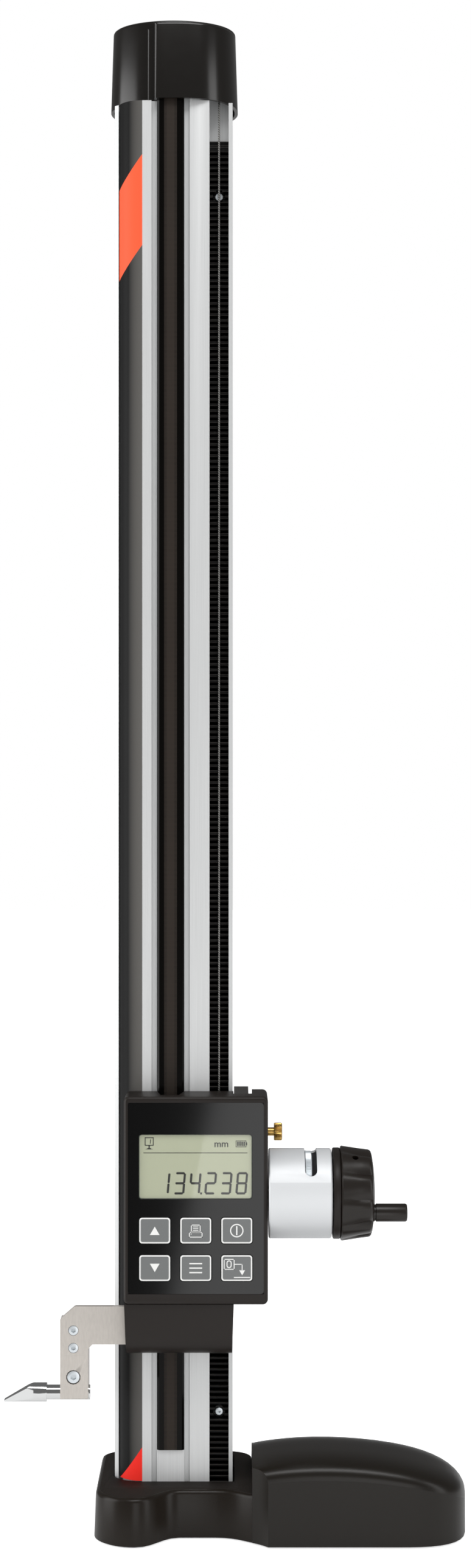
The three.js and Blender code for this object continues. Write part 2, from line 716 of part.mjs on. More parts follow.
function makeRack() {
  const pitchLine = rackCrest + toothModule;
  const half = toothPitch / 4 - backlash / 4;
  const slope = Math.tan(pressureAngle);
  const crestHalf = half - toothModule * slope;
  const root = pitchLine + rackRootDepth;
  const low = columnFoot;
  const high = capBottom - rackTopGap;
  const first = Math.ceil((low + toothPitch - shaftZ) / toothPitch);
  const last = Math.floor((high - toothPitch - shaftZ) / toothPitch);
  const points = [[rackBack - seatGap, low], [root, low]];
  for (let i = first; i <= last; i += 1) {
    const middle = shaftZ + i * toothPitch;
    points.push([root, middle - toothPitch / 2], [rackCrest, middle - crestHalf],
      [rackCrest, middle + crestHalf]);
  }
  points.push([root, shaftZ + (last + 0.5) * toothPitch], [root, high], [rackBack - seatGap, high]);
  let rack = prismX(outline(points), rackLeft, rackRight);
  for (const z of [high - rackScrewUnder, rackScrewFoot]) {
    rack = rack
      .subtract(turnedY(rod(rackCrest - overrun, root + screwHeadHeight / 4,
        screwHeadRadius + runGap), rackCentre, z))
      .subtract(turnedY(rod(root, rackBack + overrun, screwShankRadius + runGap), rackCentre, z, 8));
  }
  return rack;
}

function makeRackScrew(z) {
  const seat = rackCrest + toothModule + rackRootDepth + screwHeadHeight / 4 - seatGap;
  return turnedY(rod(seat - screwHeadHeight, seat, screwHeadRadius), rackCentre, z)
    .add(turnedY(rod(seat - screwHeadHeight / 2, rackBack - seatGap, screwShankRadius), rackCentre, z, 8))
    .subtract(turnedY(rod(seat - screwHeadHeight - overrun, seat - screwHeadHeight / 2,
      screwHeadRadius / 2), rackCentre, z, 6));
}

// Pulley under the cap, turned so that the cable drops in front of the rack on one side and
// over the counterweight on the other
const pulleyRadius = Math.hypot(rackCentre - weightX, cableY - weightY) / 2;
const pulleyTurn = Math.atan2(weightY - cableY, weightX - rackCentre);
const pulleyX = (rackCentre + weightX) / 2;
const pulleyY = (cableY + weightY) / 2;
const pulleyRim = 0.8;
const pulleyWidth = 2.8;
const pulleyZ = capTop - capWall * 1.5 - pulleyRadius - pulleyRim;
const axleRadius = 2;
const cheekThickness = 2.5;
const cheekWidth = 14;
const cheekGap = 0.5;
const topPlate = 3;
const plateMargin = 1.5;

function makePulley() {
  const half = pulleyWidth / 2;
  const rim = pulleyRadius + pulleyRim;
  const groove = pulleyRadius - cableRadius - runGap * 2;
  const hub = axleRadius + runGap;
  const bed = (half + cableRadius) / 2;
  return turnedY([[-half, hub], [-half, rim], [-bed, groove], [bed, groove],
    [half, rim], [half, hub], [-half, hub]], 0, 0, 24);
}

function makePulleyAxle() {
  const half = pulleyWidth / 2 + cheekGap + cheekThickness + topPlate / 2;
  return turnedY(rod(-half, half, axleRadius), 0, 0, 16);
}

// The bracket stands on a plate that closes the column's top
function makePulleyFrame() {
  const drop = pulleyZ - columnTop;
  const cheek = (side) => {
    const inner = pulleyWidth / 2 + cheekGap;
    const shape = new THREE.Shape();
    shape.moveTo(cheekWidth, -drop);
    shape.lineTo(cheekWidth / 2, 0);
    shape.absarc(0, 0, cheekWidth / 2, 0, Math.PI);
    shape.lineTo(-cheekWidth, -drop);
    return side < 0 ? prismY(shape, -inner - cheekThickness, -inner)
      : prismY(shape, inner, inner + cheekThickness);
  };
  return cheek(-1).add(cheek(1)).subtract(turnedY(
    rod(-cheekWidth, cheekWidth, axleRadius + seatGap), 0, 0, 16));
}

function makeTopPlate() {
  const plate = prismZ(roundedRectangle(-boreHalfWidth, boreHalfWidth,
    voidFront, columnDepth - plateMargin * 2, plateMargin * 2), columnTop, columnTop + topPlate);
  const slot = box([-pulleyRadius - pulleyWidth, pulleyRadius + pulleyWidth],
    [-pulleyWidth / 2 - cheekGap, pulleyWidth / 2 + cheekGap], [-overrun, topPlate + overrun])
    .rotate([0, 0, THREE.MathUtils.radToDeg(pulleyTurn)])
    .translate([pulleyX, pulleyY, columnTop]);
  const frame = makePulleyFrame()
    .rotate([0, 0, THREE.MathUtils.radToDeg(pulleyTurn)])
    .translate([pulleyX, pulleyY, pulleyZ]);
  return plate.intersect(capRoom).add(frame).subtract(slot);
}

// Cable: one stretch in front of the rack, one over the pulley, one to the counterweight
const cableSides = 8;
const anchorHeightShare = 0.7421; // the cable's lower end as a share of the housing's height
const cableAnchorZ = housingBottom + housingHeight * anchorHeightShare;
const arcSteps = 16;
const weightTop = columnFoot + weightMargin + measuringRange - restLift + weightLength;

const cableStretch = (x, y, low, high) =>
  turnedZ(rod(low, high, cableRadius), x, y, cableSides);

function makeCableArc() {
  const arc = new THREE.CatmullRomCurve3(Array.from({ length: arcSteps + 1 }, (unused, i) => {
    const turn = Math.PI * (i / arcSteps);
    return new THREE.Vector3(pulleyRadius * Math.cos(turn), 0, pulleyRadius * Math.sin(turn));
  }));
  const section = new THREE.Shape();
  section.absarc(0, 0, cableRadius, 0, Math.PI * 2);
  return solidOf(new THREE.ExtrudeGeometry(section,
    { steps: arcSteps, extrudePath: arc, bevelEnabled: false, curveSegments: cableSides / 2 - 1 }));
}

const weightHalfX = 14.2;
const weightCorner = 3;
const eyeRadius = 3;

function makeCounterweight() {
  const shape = roundedRectangle(weightX - weightHalfX, weightX + weightHalfX,
    weightY - weightHalfY, weightY + weightHalfY, weightCorner);
  const eye = turnedZ(rod(weightTop - eyeRadius, weightTop + eyeRadius * 2, eyeRadius),
    weightX, weightY, 12);
  return prismZ(shape, weightTop - weightLength, weightTop, 3).add(eye)
    .subtract(turnedZ(rod(weightTop, weightTop + eyeRadius * 3, cableRadius + runGap),
      weightX, weightY, cableSides));
}

// Carriage frame: a machined plate behind the display, with a wing round the column's side
const frameBack = slideGap;
const frameFront = 12;
const frameSide = housingWall + fitGap;
const frameLowFront = armFront - armThickness;
const coverTaper = 1.2;         // the lower cover narrows by this much on each side
const bossRadius = 11;
const bossStart = 44;
const shaftRadius = 4;
const rollerRadius = 4.5;
const rollerWidth = 4;
const rollerY = 20;
const rollerInset = 22;
const rollerPin = 1.5;
const lockY = 12;
const lockHeightShare = 0.7883;   // the lock screw's height as a share of the housing's
const lockStem = 2.7;
const stripClearance = 1;
const shoeHeight = 22;
const shoeFront = 6;
const shoeBack = scaleThickness + slideGap;
const shoeInset = 6;
const tongueGap = 0.15;
const headHeight = 34;
const headFront = 9;
const headAbove = 52;
const anchorWidth = 7;
const anchorHeight = 10;
const frameLow = carriageBottom + housingWall + fitGap;
const frameHigh = carriageTop - housingWall - fitGap;
const lockZ = housingBottom + housingHeight * lockHeightShare;
const rollerX = columnHalf + runGap + rollerRadius;
const rollerPlaces = [frameLow + rollerInset + lowerCoverHeight, frameHigh - rollerInset];
const shoePlaces = [frameLow + shoeInset, frameHigh - shoeInset - shoeHeight];
const pinionStart = rackLeft + fitGap * 2;
const pinionEnd = rackRight - fitGap * 2;
const pinionOutside = pinionRadius + toothModule;

function makeCarriageFrame() {
  const lowTop = housingBottom;
  const low = box([frameSide + coverTaper - housingLeft, lowerCoverRight - frameSide - coverTaper],
    [-frameLowFront, -frameBack], [frameLow, lowTop + frameSide + overrun]);
  const high = box([frameSide - housingLeft, wingRight], [-frameFront, -frameBack],
    [lowTop + frameSide, frameHigh]);
  const wing = box([wingLeft, wingRight], [-frameFront, wingBack],
    [housingBottom + housingWall + fitGap, carriageTop - fitGap]);
  const boss = turnedX(rod(bossStart, housingRight + fitGap, bossRadius), shaftY, shaftZ);
  const room = pinionOutside + 1;
  const shaftBore = [[pinionStart - 1, 0], [pinionStart - 1, room], [pinionEnd + 1, room],
    [pinionEnd + 1, shaftRadius + fitGap], [housingRight + overrun, shaftRadius + fitGap],
    [housingRight + overrun, 0]];
  let frame = low.add(high).add(wing).add(boss)
    .subtract(turnedX(shaftBore, shaftY, shaftZ))
    .subtract(box([scaleLeft - stripClearance, scaleRight + stripClearance],
      [-scaleThickness - stripClearance, overrun], [frameLow - overrun, frameHigh + overrun]))
    .subtract(turnedX(rod(rackCentre, housingRight, lockStem + fitGap), lockY, lockZ, 16))
    .subtract(box([scaleLeft + fitGap, scaleRight - fitGap], [-frameFront - overrun, overrun],
      [carriageBottom + headAbove - fitGap, carriageBottom + headAbove + headHeight + fitGap]))
    .subtract(box([rackCentre - anchorWidth / 2 - fitGap, rackCentre + anchorWidth / 2 + fitGap],
      [-frameFront - overrun, overrun],
      [cableAnchorZ - fitGap, cableAnchorZ + anchorHeight + fitGap]));
  for (const z of shoePlaces) {
    frame = frame.subtract(box(
      [scaleLeft - grooveWidth - grooveUndercut, scaleRight + grooveWidth + grooveUndercut],
      [-shoeFront - seatGap, overrun], [z - fitGap, z + shoeHeight + fitGap]));
  }
  for (const z of rollerPlaces) {
    const reach = rollerRadius + fitGap;
    frame = frame
      .subtract(box([columnHalf, rollerX + reach],
        [rollerY - rollerWidth / 2 - fitGap, rollerY + rollerWidth / 2 + fitGap],
        [z - reach, z + reach]))
      .subtract(turnedY(rod(rollerY - rollerWidth, wingBack + overrun, rollerPin + seatGap),
        rollerX, z, 12));
  }
  return frame;
}

const makeRollerPin = (z) => turnedY(rod(rollerY - rollerWidth, wingBack, rollerPin), rollerX, z, 12);

function makeRoller(z) {
  const half = rollerWidth / 2;
  const hub = rollerPin + runGap;
  return turnedY([[rollerY - half, hub], [rollerY - half, rollerRadius],
    [rollerY + half, rollerRadius], [rollerY + half, hub], [rollerY - half, hub]], rollerX, z, 16);
}

// A shoe bridges the scale and hooks into both guide grooves
function makeGuideShoe(z) {
  const left = scaleLeft - grooveWidth + tongueGap;
  const right = scaleRight + grooveWidth - tongueGap;
  const hook = grooveUndercut - tongueGap * 2;
  const hookFront = grooveLip + tongueGap;
  const tip = grooveDepth - tongueGap;
  const shape = outline([
    [left, -shoeFront], [right, -shoeFront], [right, hookFront], [right + hook, hookFront],
    [right + hook, tip], [scaleRight + tongueGap, tip], [scaleRight + tongueGap, -shoeBack],
    [scaleLeft - tongueGap, -shoeBack], [scaleLeft - tongueGap, tip], [left - hook, tip],
    [left - hook, hookFront], [left, hookFront]]);
  return prismZ(shape, z, z + shoeHeight);
}

const makeReadingHead = () => box([scaleLeft + fitGap * 2, scaleRight - fitGap * 2],
  [-headFront - fitGap, -scaleThickness - slideGap / 2],
  [carriageBottom + headAbove, carriageBottom + headAbove + headHeight]);

function makeCableAnchor() {
  const half = anchorWidth / 2;
  return box([rackCentre - half, rackCentre + half], [-frameFront, cableY + cableRadius + fitGap],
    [cableAnchorZ, cableAnchorZ + anchorHeight])
    .subtract(turnedZ(rod(cableAnchorZ + anchorHeight / 2, cableAnchorZ + anchorHeight + overrun,
      cableRadius + seatGap), rackCentre, cableY, cableSides));
}

// Display housing: a moulded shell, open behind, with a side return round the frame
const panelInset = 2.6;
const panelInsetTop = 3.8;
const panelInsetLow = 6.8;
const panelSink = 0.3;
const panelSheet = 0.8;
const panelCorner = 2;
const frontWall = 2.4;
const windowWidth = 70.6;
const windowHeight = housingHeight * 0.3095;
const windowLeft = 20.7;
const windowTop = housingHeight * 0.1825;       // its upper edge under the housing's top
const windowGlass = 1.2;
const keyWidth = 20;
const keyHeight = housingHeight * 0.1293;
const keyPitchX = 25.6;
const keyPitchZ = housingHeight * 0.1801;
const keyLeft = 20.8;
const keyTop = housingHeight * 0.5781;          // the upper row's edge under the housing's top
const keyCorner = 1.6;
const keyProud = 0.1;
const keyTravel = 0.35;
const keyPlunger = 2;
const boardFront = 24.6;
const boardThickness = 1.4;
const boardMargin = 4;
const sideReturn = 49;
const notchWidth = 18.4;
const notchDepth = 19;
const panelFront = housingFront - panelSink;
const panelBack = panelFront - panelSheet;
const wallBack = housingFront - housingWall - panelSink;
const panelLow = housingBottom + panelInsetLow;
const panelHigh = carriageTop - panelInsetTop;

function housingPlan(wall) {
  const left = wall - housingLeft;
  const right = housingRight - wall;
  const front = wall - housingFront;
  const side = sideBack - wall;
  const round = Math.max(housingCorner - wall, fitGap);
  const sideRound = housingCorner * 2 - wall;
  const shape = new THREE.Shape();
  shape.moveTo(left, -slideGap);
  shape.lineTo(left, front + round);
  shape.absarc(left + round, front + round, round, Math.PI, Math.PI * 1.5);
  shape.absarc(right - round, front + round, round, Math.PI * 1.5, Math.PI * 2);
  shape.absarc(right - sideRound, side - sideRound, sideRound, 0, Math.PI / 2);
  shape.lineTo(sideReturn + wall, side);
  shape.lineTo(sideReturn + wall, -slideGap);
  return shape;
}

const windowShape = (gap) => roundedRectangle(-windowLeft - gap, windowWidth - windowLeft + gap,
  carriageTop - windowTop - windowHeight - gap, carriageTop - windowTop + gap, keyCorner);

const keyPlaces = [0, 1].flatMap((row) => [0, 1, 2].map((column) =>
  [column * keyPitchX - keyLeft, carriageTop - keyTop - keyHeight - row * keyPitchZ]));

const keyShape = (x, z, gap) =>
  roundedRectangle(x - gap, x + keyWidth + gap, z - gap, z + keyHeight + gap, keyCorner);

const panelShape = (gap) => roundedRectangle(panelInset - housingLeft - gap,
  housingRight - panelInset + gap, panelLow - gap, panelHigh + gap, panelCorner);

function makeDisplayHousing() {
  const face = roundedRectangle(-housingLeft, housingRight, housingBottom, carriageTop, housingCorner);
  const side = roundedRectangle(-housingFront, sideBack * 2, housingBottom, carriageTop,
    housingCorner * 0.6);
  const outside = prismZ(housingPlan(0), housingBottom, carriageTop, 4)
    .intersect(prismY(face, -housingFront, sideBack, 4))
    .intersect(prismX(side, -housingLeft, housingRight, 3));
  const low = housingBottom + housingWall;
  const high = carriageTop - housingWall;
  const inside = prismZ(housingPlan(housingWall + panelSink), low, high, 3)
    .add(box([housingWall - housingLeft, sideReturn + overrun], [-frameFront, overrun], [low, high]));
  const notch = outline([
    [scaleCentre - notchWidth / 2, overrun], [scaleCentre - notchWidth / 2, -slideGap],
    [scaleCentre - notchWidth / 2 + housingCorner, -notchDepth],
    [scaleCentre + notchWidth / 2 - housingCorner, -notchDepth],
    [scaleCentre + notchWidth / 2, -slideGap], [scaleCentre + notchWidth / 2, overrun]]);
  let housing = outside.subtract(inside)
    .subtract(prismZ(notch, housingBottom - overrun, carriageTop + overrun))
    .subtract(box([wingLeft - fitGap, sideReturn + overrun], [-frameFront - fitGap, sideBack],
      [high - overrun, carriageTop + overrun]))
    .subtract(box([wingLeft - fitGap, sideReturn + overrun], [-frameFront - fitGap, sideBack],
      [housingBottom - overrun, low + overrun]))
    .subtract(turnedX(rod(bossStart, housingRight + overrun, bossRadius + fitGap), shaftY, shaftZ))
    .subtract(box([frameSide - housingLeft, lowerCoverRight - frameSide],
      [-frameLowFront - fitGap, overrun], [housingBottom - overrun, low + overrun]))
    .subtract(prismY(panelShape(fitGap / 3), -housingFront - overrun, -panelBack + seatGap, 3))
    .subtract(prismY(windowShape(fitGap / 3), -housingFront, -wallBack + overrun, 2));
  for (const [x, z] of keyPlaces) {
    housing = housing.subtract(prismY(keyShape(x, z, fitGap), -housingFront, -wallBack + overrun, 1));
  }
  return housing;
}

function makePanel() {
  let panel = prismY(panelShape(0), -panelFront, -panelBack, 3)
    .subtract(prismY(windowShape(fitGap / 3), -housingFront, -wallBack, 2));
  for (const [x, z] of keyPlaces) {
    panel = panel.subtract(prismY(keyShape(x, z, fitGap), -housingFront, -wallBack, 1));
  }
  return panel;
}

const makeWindow = () => prismY(windowShape(0), -panelFront + panelSink / 2,
  -panelFront + panelSink / 2 + windowGlass, 2);

const makeLcd = () => prismY(windowShape(-fitGap),
  -panelFront + panelSink / 2 + windowGlass + seatGap, -boardFront - seatGap, 2);

const makeBoard = () => box(
  [housingWall + boardMargin - housingLeft, housingRight - housingWall - boardMargin],
  [-boardFront, boardThickness - boardFront],
  [housingBottom + housingWall + boardMargin, carriageTop - housingWall - boardMargin]);

function makeKey(x, z) {
  const back = -boardFront - keyTravel - seatGap * 2;
  return prismY(keyShape(x, z, 0), -panelFront - keyProud, -wallBack, 1)
    .add(turnedY(rod(-wallBack - overrun / 4, back, keyPlunger), x + keyWidth / 2, z + keyHeight / 2, 8));
}

// Lower cover, with a large round under its front and a slot for the arm
function makeLowerCover() {
  const top = housingBottom - coverJoint;
  const shell = (wall) => {
    const profile = new THREE.Shape();
    const round = lowerCoverRound - wall;
    profile.moveTo(wall > 0 ? overrun : -slideGap, top - wall);
    profile.lineTo(wall - lowerCoverFront, top - wall);
    profile.lineTo(wall - lowerCoverFront, carriageBottom + wall + round);
    profile.absarc(wall - lowerCoverFront + round, carriageBottom + wall + round, round,
      Math.PI, Math.PI * 1.5);
    profile.lineTo(wall > 0 ? overrun : -slideGap, carriageBottom + wall);
    const face = outline([
      [wall - housingLeft, top + overrun], [wall - housingLeft + coverTaper, carriageBottom],
      [lowerCoverRight - wall - coverTaper, carriageBottom],
      [lowerCoverRight - wall, top + overrun]]);
    return prismX(profile, -housingLeft, lowerCoverRight)
      .intersect(prismY(face, -lowerCoverFront, overrun * 2));
  };
  const armLow = carriageBottom + armTopAbove - armHeight;
  return shell(0).subtract(shell(housingWall))
    .subtract(box([-housingLeft - overrun, overrun - housingLeft + housingWall],
      [-armFront - fitGap, overrun], [armLow - fitGap, armLow + armHeight + fitGap]))
    .subtract(box([frameSide - housingLeft - fitGap, lowerCoverRight - frameSide + fitGap],
      [-frameLowFront - fitGap, overrun], [top - overrun * 2, top + overrun]))
    .subtract(box([scaleLeft - stripClearance, scaleRight + stripClearance],
      [-scaleThickness - stripClearance, overrun], [carriageBottom - overrun, top]));
}

// Fine-adjustment drive, along the X axis of its own group
const sleeveBore = sleeveRadius - sleeveWall;
const endWall = 6;
const bushRadius = 7;
const slotStart = 83.1;
const slotEnd = 90.7;
const slotFrontAngle = 38.5;
const slotRearAngle = 112;
const wheelStart = slotStart + fitGap;
const wheelWidth = 4.2;
const wheelTeeth = 36;
const shaftEndX = gripStart + 8;

function makeSleeve() {
  const start = housingRight + fitGap * 2;
  const tube = turnedX([[start, bushRadius], [start, sleeveRadius - 0.8],
    [start + 0.8, sleeveRadius], [sleeveEnd - 0.8, sleeveRadius], [sleeveEnd, sleeveRadius - 0.8],
    [sleeveEnd, sleeveBore], [start + endWall, sleeveBore], [start + endWall, bushRadius],
    [start, bushRadius]], 0, 0, 32);
  const slotMiddle = (slotStart + slotEnd) / 2;
  const slotHalf = (slotEnd - slotStart) / 2;
  const rimPoint = (angle) => [-Math.cos(angle * Math.PI / 180), Math.sin(angle * Math.PI / 180)]
    .map((share) => share * sleeveRadius * 1.1);
  const cutters = [];
  const steps = 4;
  for (let i = 0; i < steps; i += 1) {
    const from = slotFrontAngle + (slotRearAngle - slotFrontAngle) * (i / steps);
    const to = slotFrontAngle + (slotRearAngle - slotFrontAngle) * ((i + 1) / steps);
    cutters.push(prismX(outline([[0, 0], rimPoint(from), rimPoint(to)]), slotStart, slotEnd));
  }
  const roundEnd = (angle) => turnedZ(rod(0, sleeveRadius * 1.2, slotHalf), slotMiddle, 0, 20)
    .rotate([90 - angle, 0, 0]);
  const slot = cutters.reduce((sum, wedge) => sum.add(wedge))
    .add(roundEnd(slotFrontAngle)).add(roundEnd(slotRearAngle))
    .subtract(turnedX(rod(0, sleeveEnd * 2, shaftRadius * 2), 0, 0));
  return tube.subtract(slot);
}

const makeBush = () => turnedX([
  [housingRight + fitGap * 2, shaftRadius + runGap], [housingRight + fitGap * 2, bushRadius - runGap],
  [housingRight + endWall + fitGap * 2, bushRadius - runGap],
  [housingRight + endWall + fitGap * 2, bushRadius + 1],
  [housingRight + endWall * 1.5, bushRadius + 1],
  [housingRight + endWall * 1.5, shaftRadius + runGap],
  [housingRight + fitGap * 2, shaftRadius + runGap]], 0, 0, 20);

// An involute pinion with a gap turned towards the rack
function pinionOutline() {
  const base = pinionRadius * Math.cos(pressureAngle);
  const root = pinionRadius - toothModule * rootShare;
  const involute = (radius) => {
    const roll = Math.sqrt(Math.max((radius / base) ** 2 - 1, 0));
    return roll - Math.atan(roll);
  };
  const halfPitch = (toothPitch / 4 - backlash / 4) / pinionRadius;
  const halfAt = (radius) => halfPitch + involute(pinionRadius) - involute(Math.max(radius, base));
  const radii = [root, pinionOutside];
  const points = [];
  for (let i = 0; i < pinionTeeth; i += 1) {
    const middle = ((i + 0.5) / pinionTeeth) * Math.PI * 2;
    for (const radius of radii) {
      const turn = middle - halfAt(radius);
      points.push([radius * Math.cos(turn), radius * Math.sin(turn)]);
    }
    for (const radius of [...radii].reverse()) {
      const turn = middle + halfAt(radius);
      points.push([radius * Math.cos(turn), radius * Math.sin(turn)]);
    }
  }
  return outline(points);
}

function makeDriveShaft() {
  return prismX(pinionOutline(), pinionStart, pinionEnd)
    .add(turnedX(rod(pinionEnd - overrun, shaftEndX, shaftRadius), 0, 0, 24));
}

function makeFineWheel() {
  const points = [];
  const outer = sleeveBore - fitGap;
  for (let i = 0; i < wheelTeeth; i += 1) {
    for (const [step, radius] of [[0, outer - 0.5], [0.5, outer]]) {
      const turn = ((i + step) / wheelTeeth) * Math.PI * 2;
      points.push([radius * Math.cos(turn), radius * Math.sin(turn)]);
    }
  }
  const dish = [[wheelStart - overrun, shaftRadius * 2], [wheelStart - overrun, outer - shaftRadius],
    [wheelStart + wheelWidth / 3, outer - shaftRadius], [wheelStart + wheelWidth / 3, shaftRadius * 2],
    [wheelStart - overrun, shaftRadius * 2]];
  return prismX(outline(points), wheelStart, wheelStart + wheelWidth)
    .subtract(turnedX(dish, 0, 0, 24))
    .subtract(turnedX(rod(wheelStart - overrun, slotEnd, shaftRadius + seatGap), 0, 0, 24));
}

const makeFlange = () => turnedX([[flangeStart, shaftRadius + seatGap],
  [flangeStart, sleeveRadius - 0.6], [flangeStart + 0.6, sleeveRadius + 0.3],
  [gripStart - 0.6, sleeveRadius + 0.3], [gripStart - seatGap, sleeveRadius - 0.6],
  [gripStart - seatGap, shaftRadius + seatGap], [flangeStart, shaftRadius + seatGap]], 0, 0, 32);

// Hand knob: a tapered barrel with ramp-shaped flutes
const fluteDepth = 3;
const knobEdge = 0.6;
const fluteRise = 0.3;          // share of each flute that climbs steeply
const setScrewAngle = 60;
const setScrewX = 114.9;
const setScrewRadius = 1.9;
const setScrewDepth = 6;
const crankOut = Math.sqrt(crankRadius ** 2 - crankDrop ** 2);
const crankAxleRadius = 3;
const crankSeat = 1.2;

function fluted(radius, depth) {
  const ring = [];
  const steps = 5;
  for (let i = 0; i < knobFlutes; i += 1) {
    for (let j = 0; j < steps; j += 1) {
      const share = j / steps;
      const ramp = share < fluteRise ? share / fluteRise : (1 - share) / (1 - fluteRise);
      const turn = ((i + share) / knobFlutes) * Math.PI * 2;
      const reach = radius - depth * (1 - ramp) ** 2;
      ring.push([reach * Math.cos(turn), reach * Math.sin(turn)]);
    }
  }
  return ring;
}

function makeKnob() {
  const steps = [[gripStart, knobRadius - knobEdge, fluteDepth * 0.15],
    [gripStart + knobEdge, knobRadius, fluteDepth * 0.2],
    [gripEnd - knobEdge * 4, knobEndRadius, fluteDepth],
    [gripEnd - knobEdge, knobEndRadius - knobEdge * 2, fluteDepth * 0.9],
    [gripEnd + knobDome * 0.5, knobRadius * 0.7, 0], [gripEnd + knobDome, knobRadius * 0.4, 0]];
  const barrel = loft(steps.map(([x, radius, depth]) =>
    fluted(radius, depth).map(([y, z]) => new THREE.Vector3(x, y, z))));
  const axleFoot = turnedX(rod(gripEnd - overrun * 3, gripEnd + knobDome * 2, crankAxleRadius + seatGap),
    -crankOut, -crankDrop, 16);
  const screwHole = turnedZ(rod(0, knobRadius + overrun, setScrewRadius + seatGap), setScrewX, 0, 16)
    .rotate([90 - setScrewAngle, 0, 0]);
  return barrel
    .subtract(turnedX(rod(gripStart - overrun, shaftEndX + fitGap, shaftRadius + seatGap), 0, 0, 24))
    .subtract(axleFoot).subtract(screwHole)
    .subtract(turnedX(rod(handleStart - fitGap, gripEnd + knobRadius, handleRadius + fitGap),
      -crankOut, -crankDrop, 20));
}

const makeSetScrew = () => turnedZ(rod(shaftRadius + fitGap, knobRadius - setScrewDepth,
  setScrewRadius), setScrewX, 0, 16)
  .subtract(turnedZ(rod(knobRadius - setScrewDepth * 1.5, knobRadius, setScrewRadius / 2),
    setScrewX, 0, 6)).rotate([90 - setScrewAngle, 0, 0]);

// Crank handle: a sleeve that spins on an axle pressed into the knob, held by its head
const handleStart = gripEnd + knobDome * 0.7;
const handleHead = 2;

const makeCrankAxle = () => turnedX([[gripEnd - overrun * 3 + seatGap, 0],
  [gripEnd - overrun * 3 + seatGap, crankAxleRadius],
  [handleStart + crankLength - handleHead, crankAxleRadius],
  [handleStart + crankLength - handleHead, crankAxleRadius + 1],
  [handleStart + crankLength - 0.4, crankAxleRadius + 1],
  [handleStart + crankLength - 0.4, 0]], -crankOut, -crankDrop, 16);

function makeCrankHandle() {
  const end = handleStart + crankLength;
  const seat = end - handleHead - runGap;
  const neck = handleRadius - 0.5;
  const bore = crankAxleRadius + runGap;
  return turnedX([[handleStart, bore], [handleStart, handleRadius - 0.4],
    [handleStart + 0.4, handleRadius], [handleStart + crankSeat, handleRadius],
    [handleStart + crankSeat + 0.3, neck], [handleStart + crankSeat + 0.9, neck],
    [handleStart + crankSeat + 1.2, handleRadius], [end - 0.9, handleRadius],
    [end, handleRadius - 0.9], [end, bore + 1], [seat, bore + 1], [seat, bore],
    [handleStart, bore]], -crankOut, -crankDrop, 16);
}

// Lock screw: brass, with a knurled head, bearing on the column's side
const lockHeadStart = 64.2;
const lockHeadLength = 5.2;
const lockHeadRadius = 5.7;
const lockTeeth = 24;

function makeLockScrew() {
  const points = [];
  for (let i = 0; i < lockTeeth; i += 1) {
    for (const [step, radius] of [[0, lockHeadRadius - 0.4], [0.5, lockHeadRadius]]) {
      const turn = ((i + step) / lockTeeth) * Math.PI * 2;
      points.push([lockY + radius * Math.cos(turn), lockZ + radius * Math.sin(turn)]);
    }
  }
  return prismX(outline(points), lockHeadStart, lockHeadStart + lockHeadLength)
    .add(turnedX(rod(columnHalf + fitGap, lockHeadStart + overrun / 2, lockStem), lockY, lockZ, 20));
}

// Probe arm: a plate with a leg, a clamp block hung on the leg, and the probe in the block
const armRight = 6;
const armChamferX = 9.2;
const armChamferZ = 7.6;
const innerChamfer = 2.8;
const armScrewRadius = 3.2;
const armScrewX = 62.7;
const armScrewDrops = [15.2, 26.3];
const screwSink = 2.2;
const blockScrewDrop = 13.7;
const blockScrewRadius = 4.1;
const blockScrewSink = 4.5;
const blockChamfer = 1.2;
const probeDrop = 24.8;
const probeStandOff = 8.9;       // the free length of the pin
const probeBodyLength = 8.2;
const probeBodyHeight = 11.7;
const probeTipLength = 18.8;
const probeWidth = 11;
const probeFlat = 0.3;          // how much the turned body is flattened above and below, in all
const probeTipHeight = 1.2;
const armTop = carriageBottom + armTopAbove;
const armLow = armTop - armHeight;
const legLow = armLow - legDrop;
const legRight = legWidth - armLeft;
const blockTop = legLow - seatGap;
const blockLow = blockTop - blockHeight;
const probeZ = blockTop - probeDrop;

function makeArmPlate() {
  const shape = new THREE.Shape();
  shape.moveTo(-armLeft, legLow);
  shape.lineTo(legRight, legLow);
  shape.lineTo(legRight, armLow - innerChamfer);
  shape.lineTo(legRight + innerChamfer, armLow);
  shape.lineTo(-armRight, armLow);
  shape.lineTo(-armRight, armTop);
  shape.lineTo(armChamferX + 1 - armLeft, armTop);
  shape.quadraticCurveTo(armChamferX - armLeft, armTop, armChamferX - 0.8 - armLeft, armTop - 0.7);
  shape.lineTo(0.5 - armLeft, armTop - armChamferZ);
  shape.quadraticCurveTo(-armLeft, armTop - armChamferZ - 0.5, -armLeft, armTop - armChamferZ - 1.2);
  let plate = prismY(shape, -armFront, armThickness - armFront);
  for (const drop of armScrewDrops) {
    plate = plate.subtract(turnedY(rod(-armFront - overrun, screwSink - armFront,
      armScrewRadius + runGap), -armScrewX, armTop - drop))
      .subtract(turnedY(rod(-armFront, overrun, screwShankRadius + runGap), -armScrewX, armTop - drop, 8));
  }
  return plate;
}

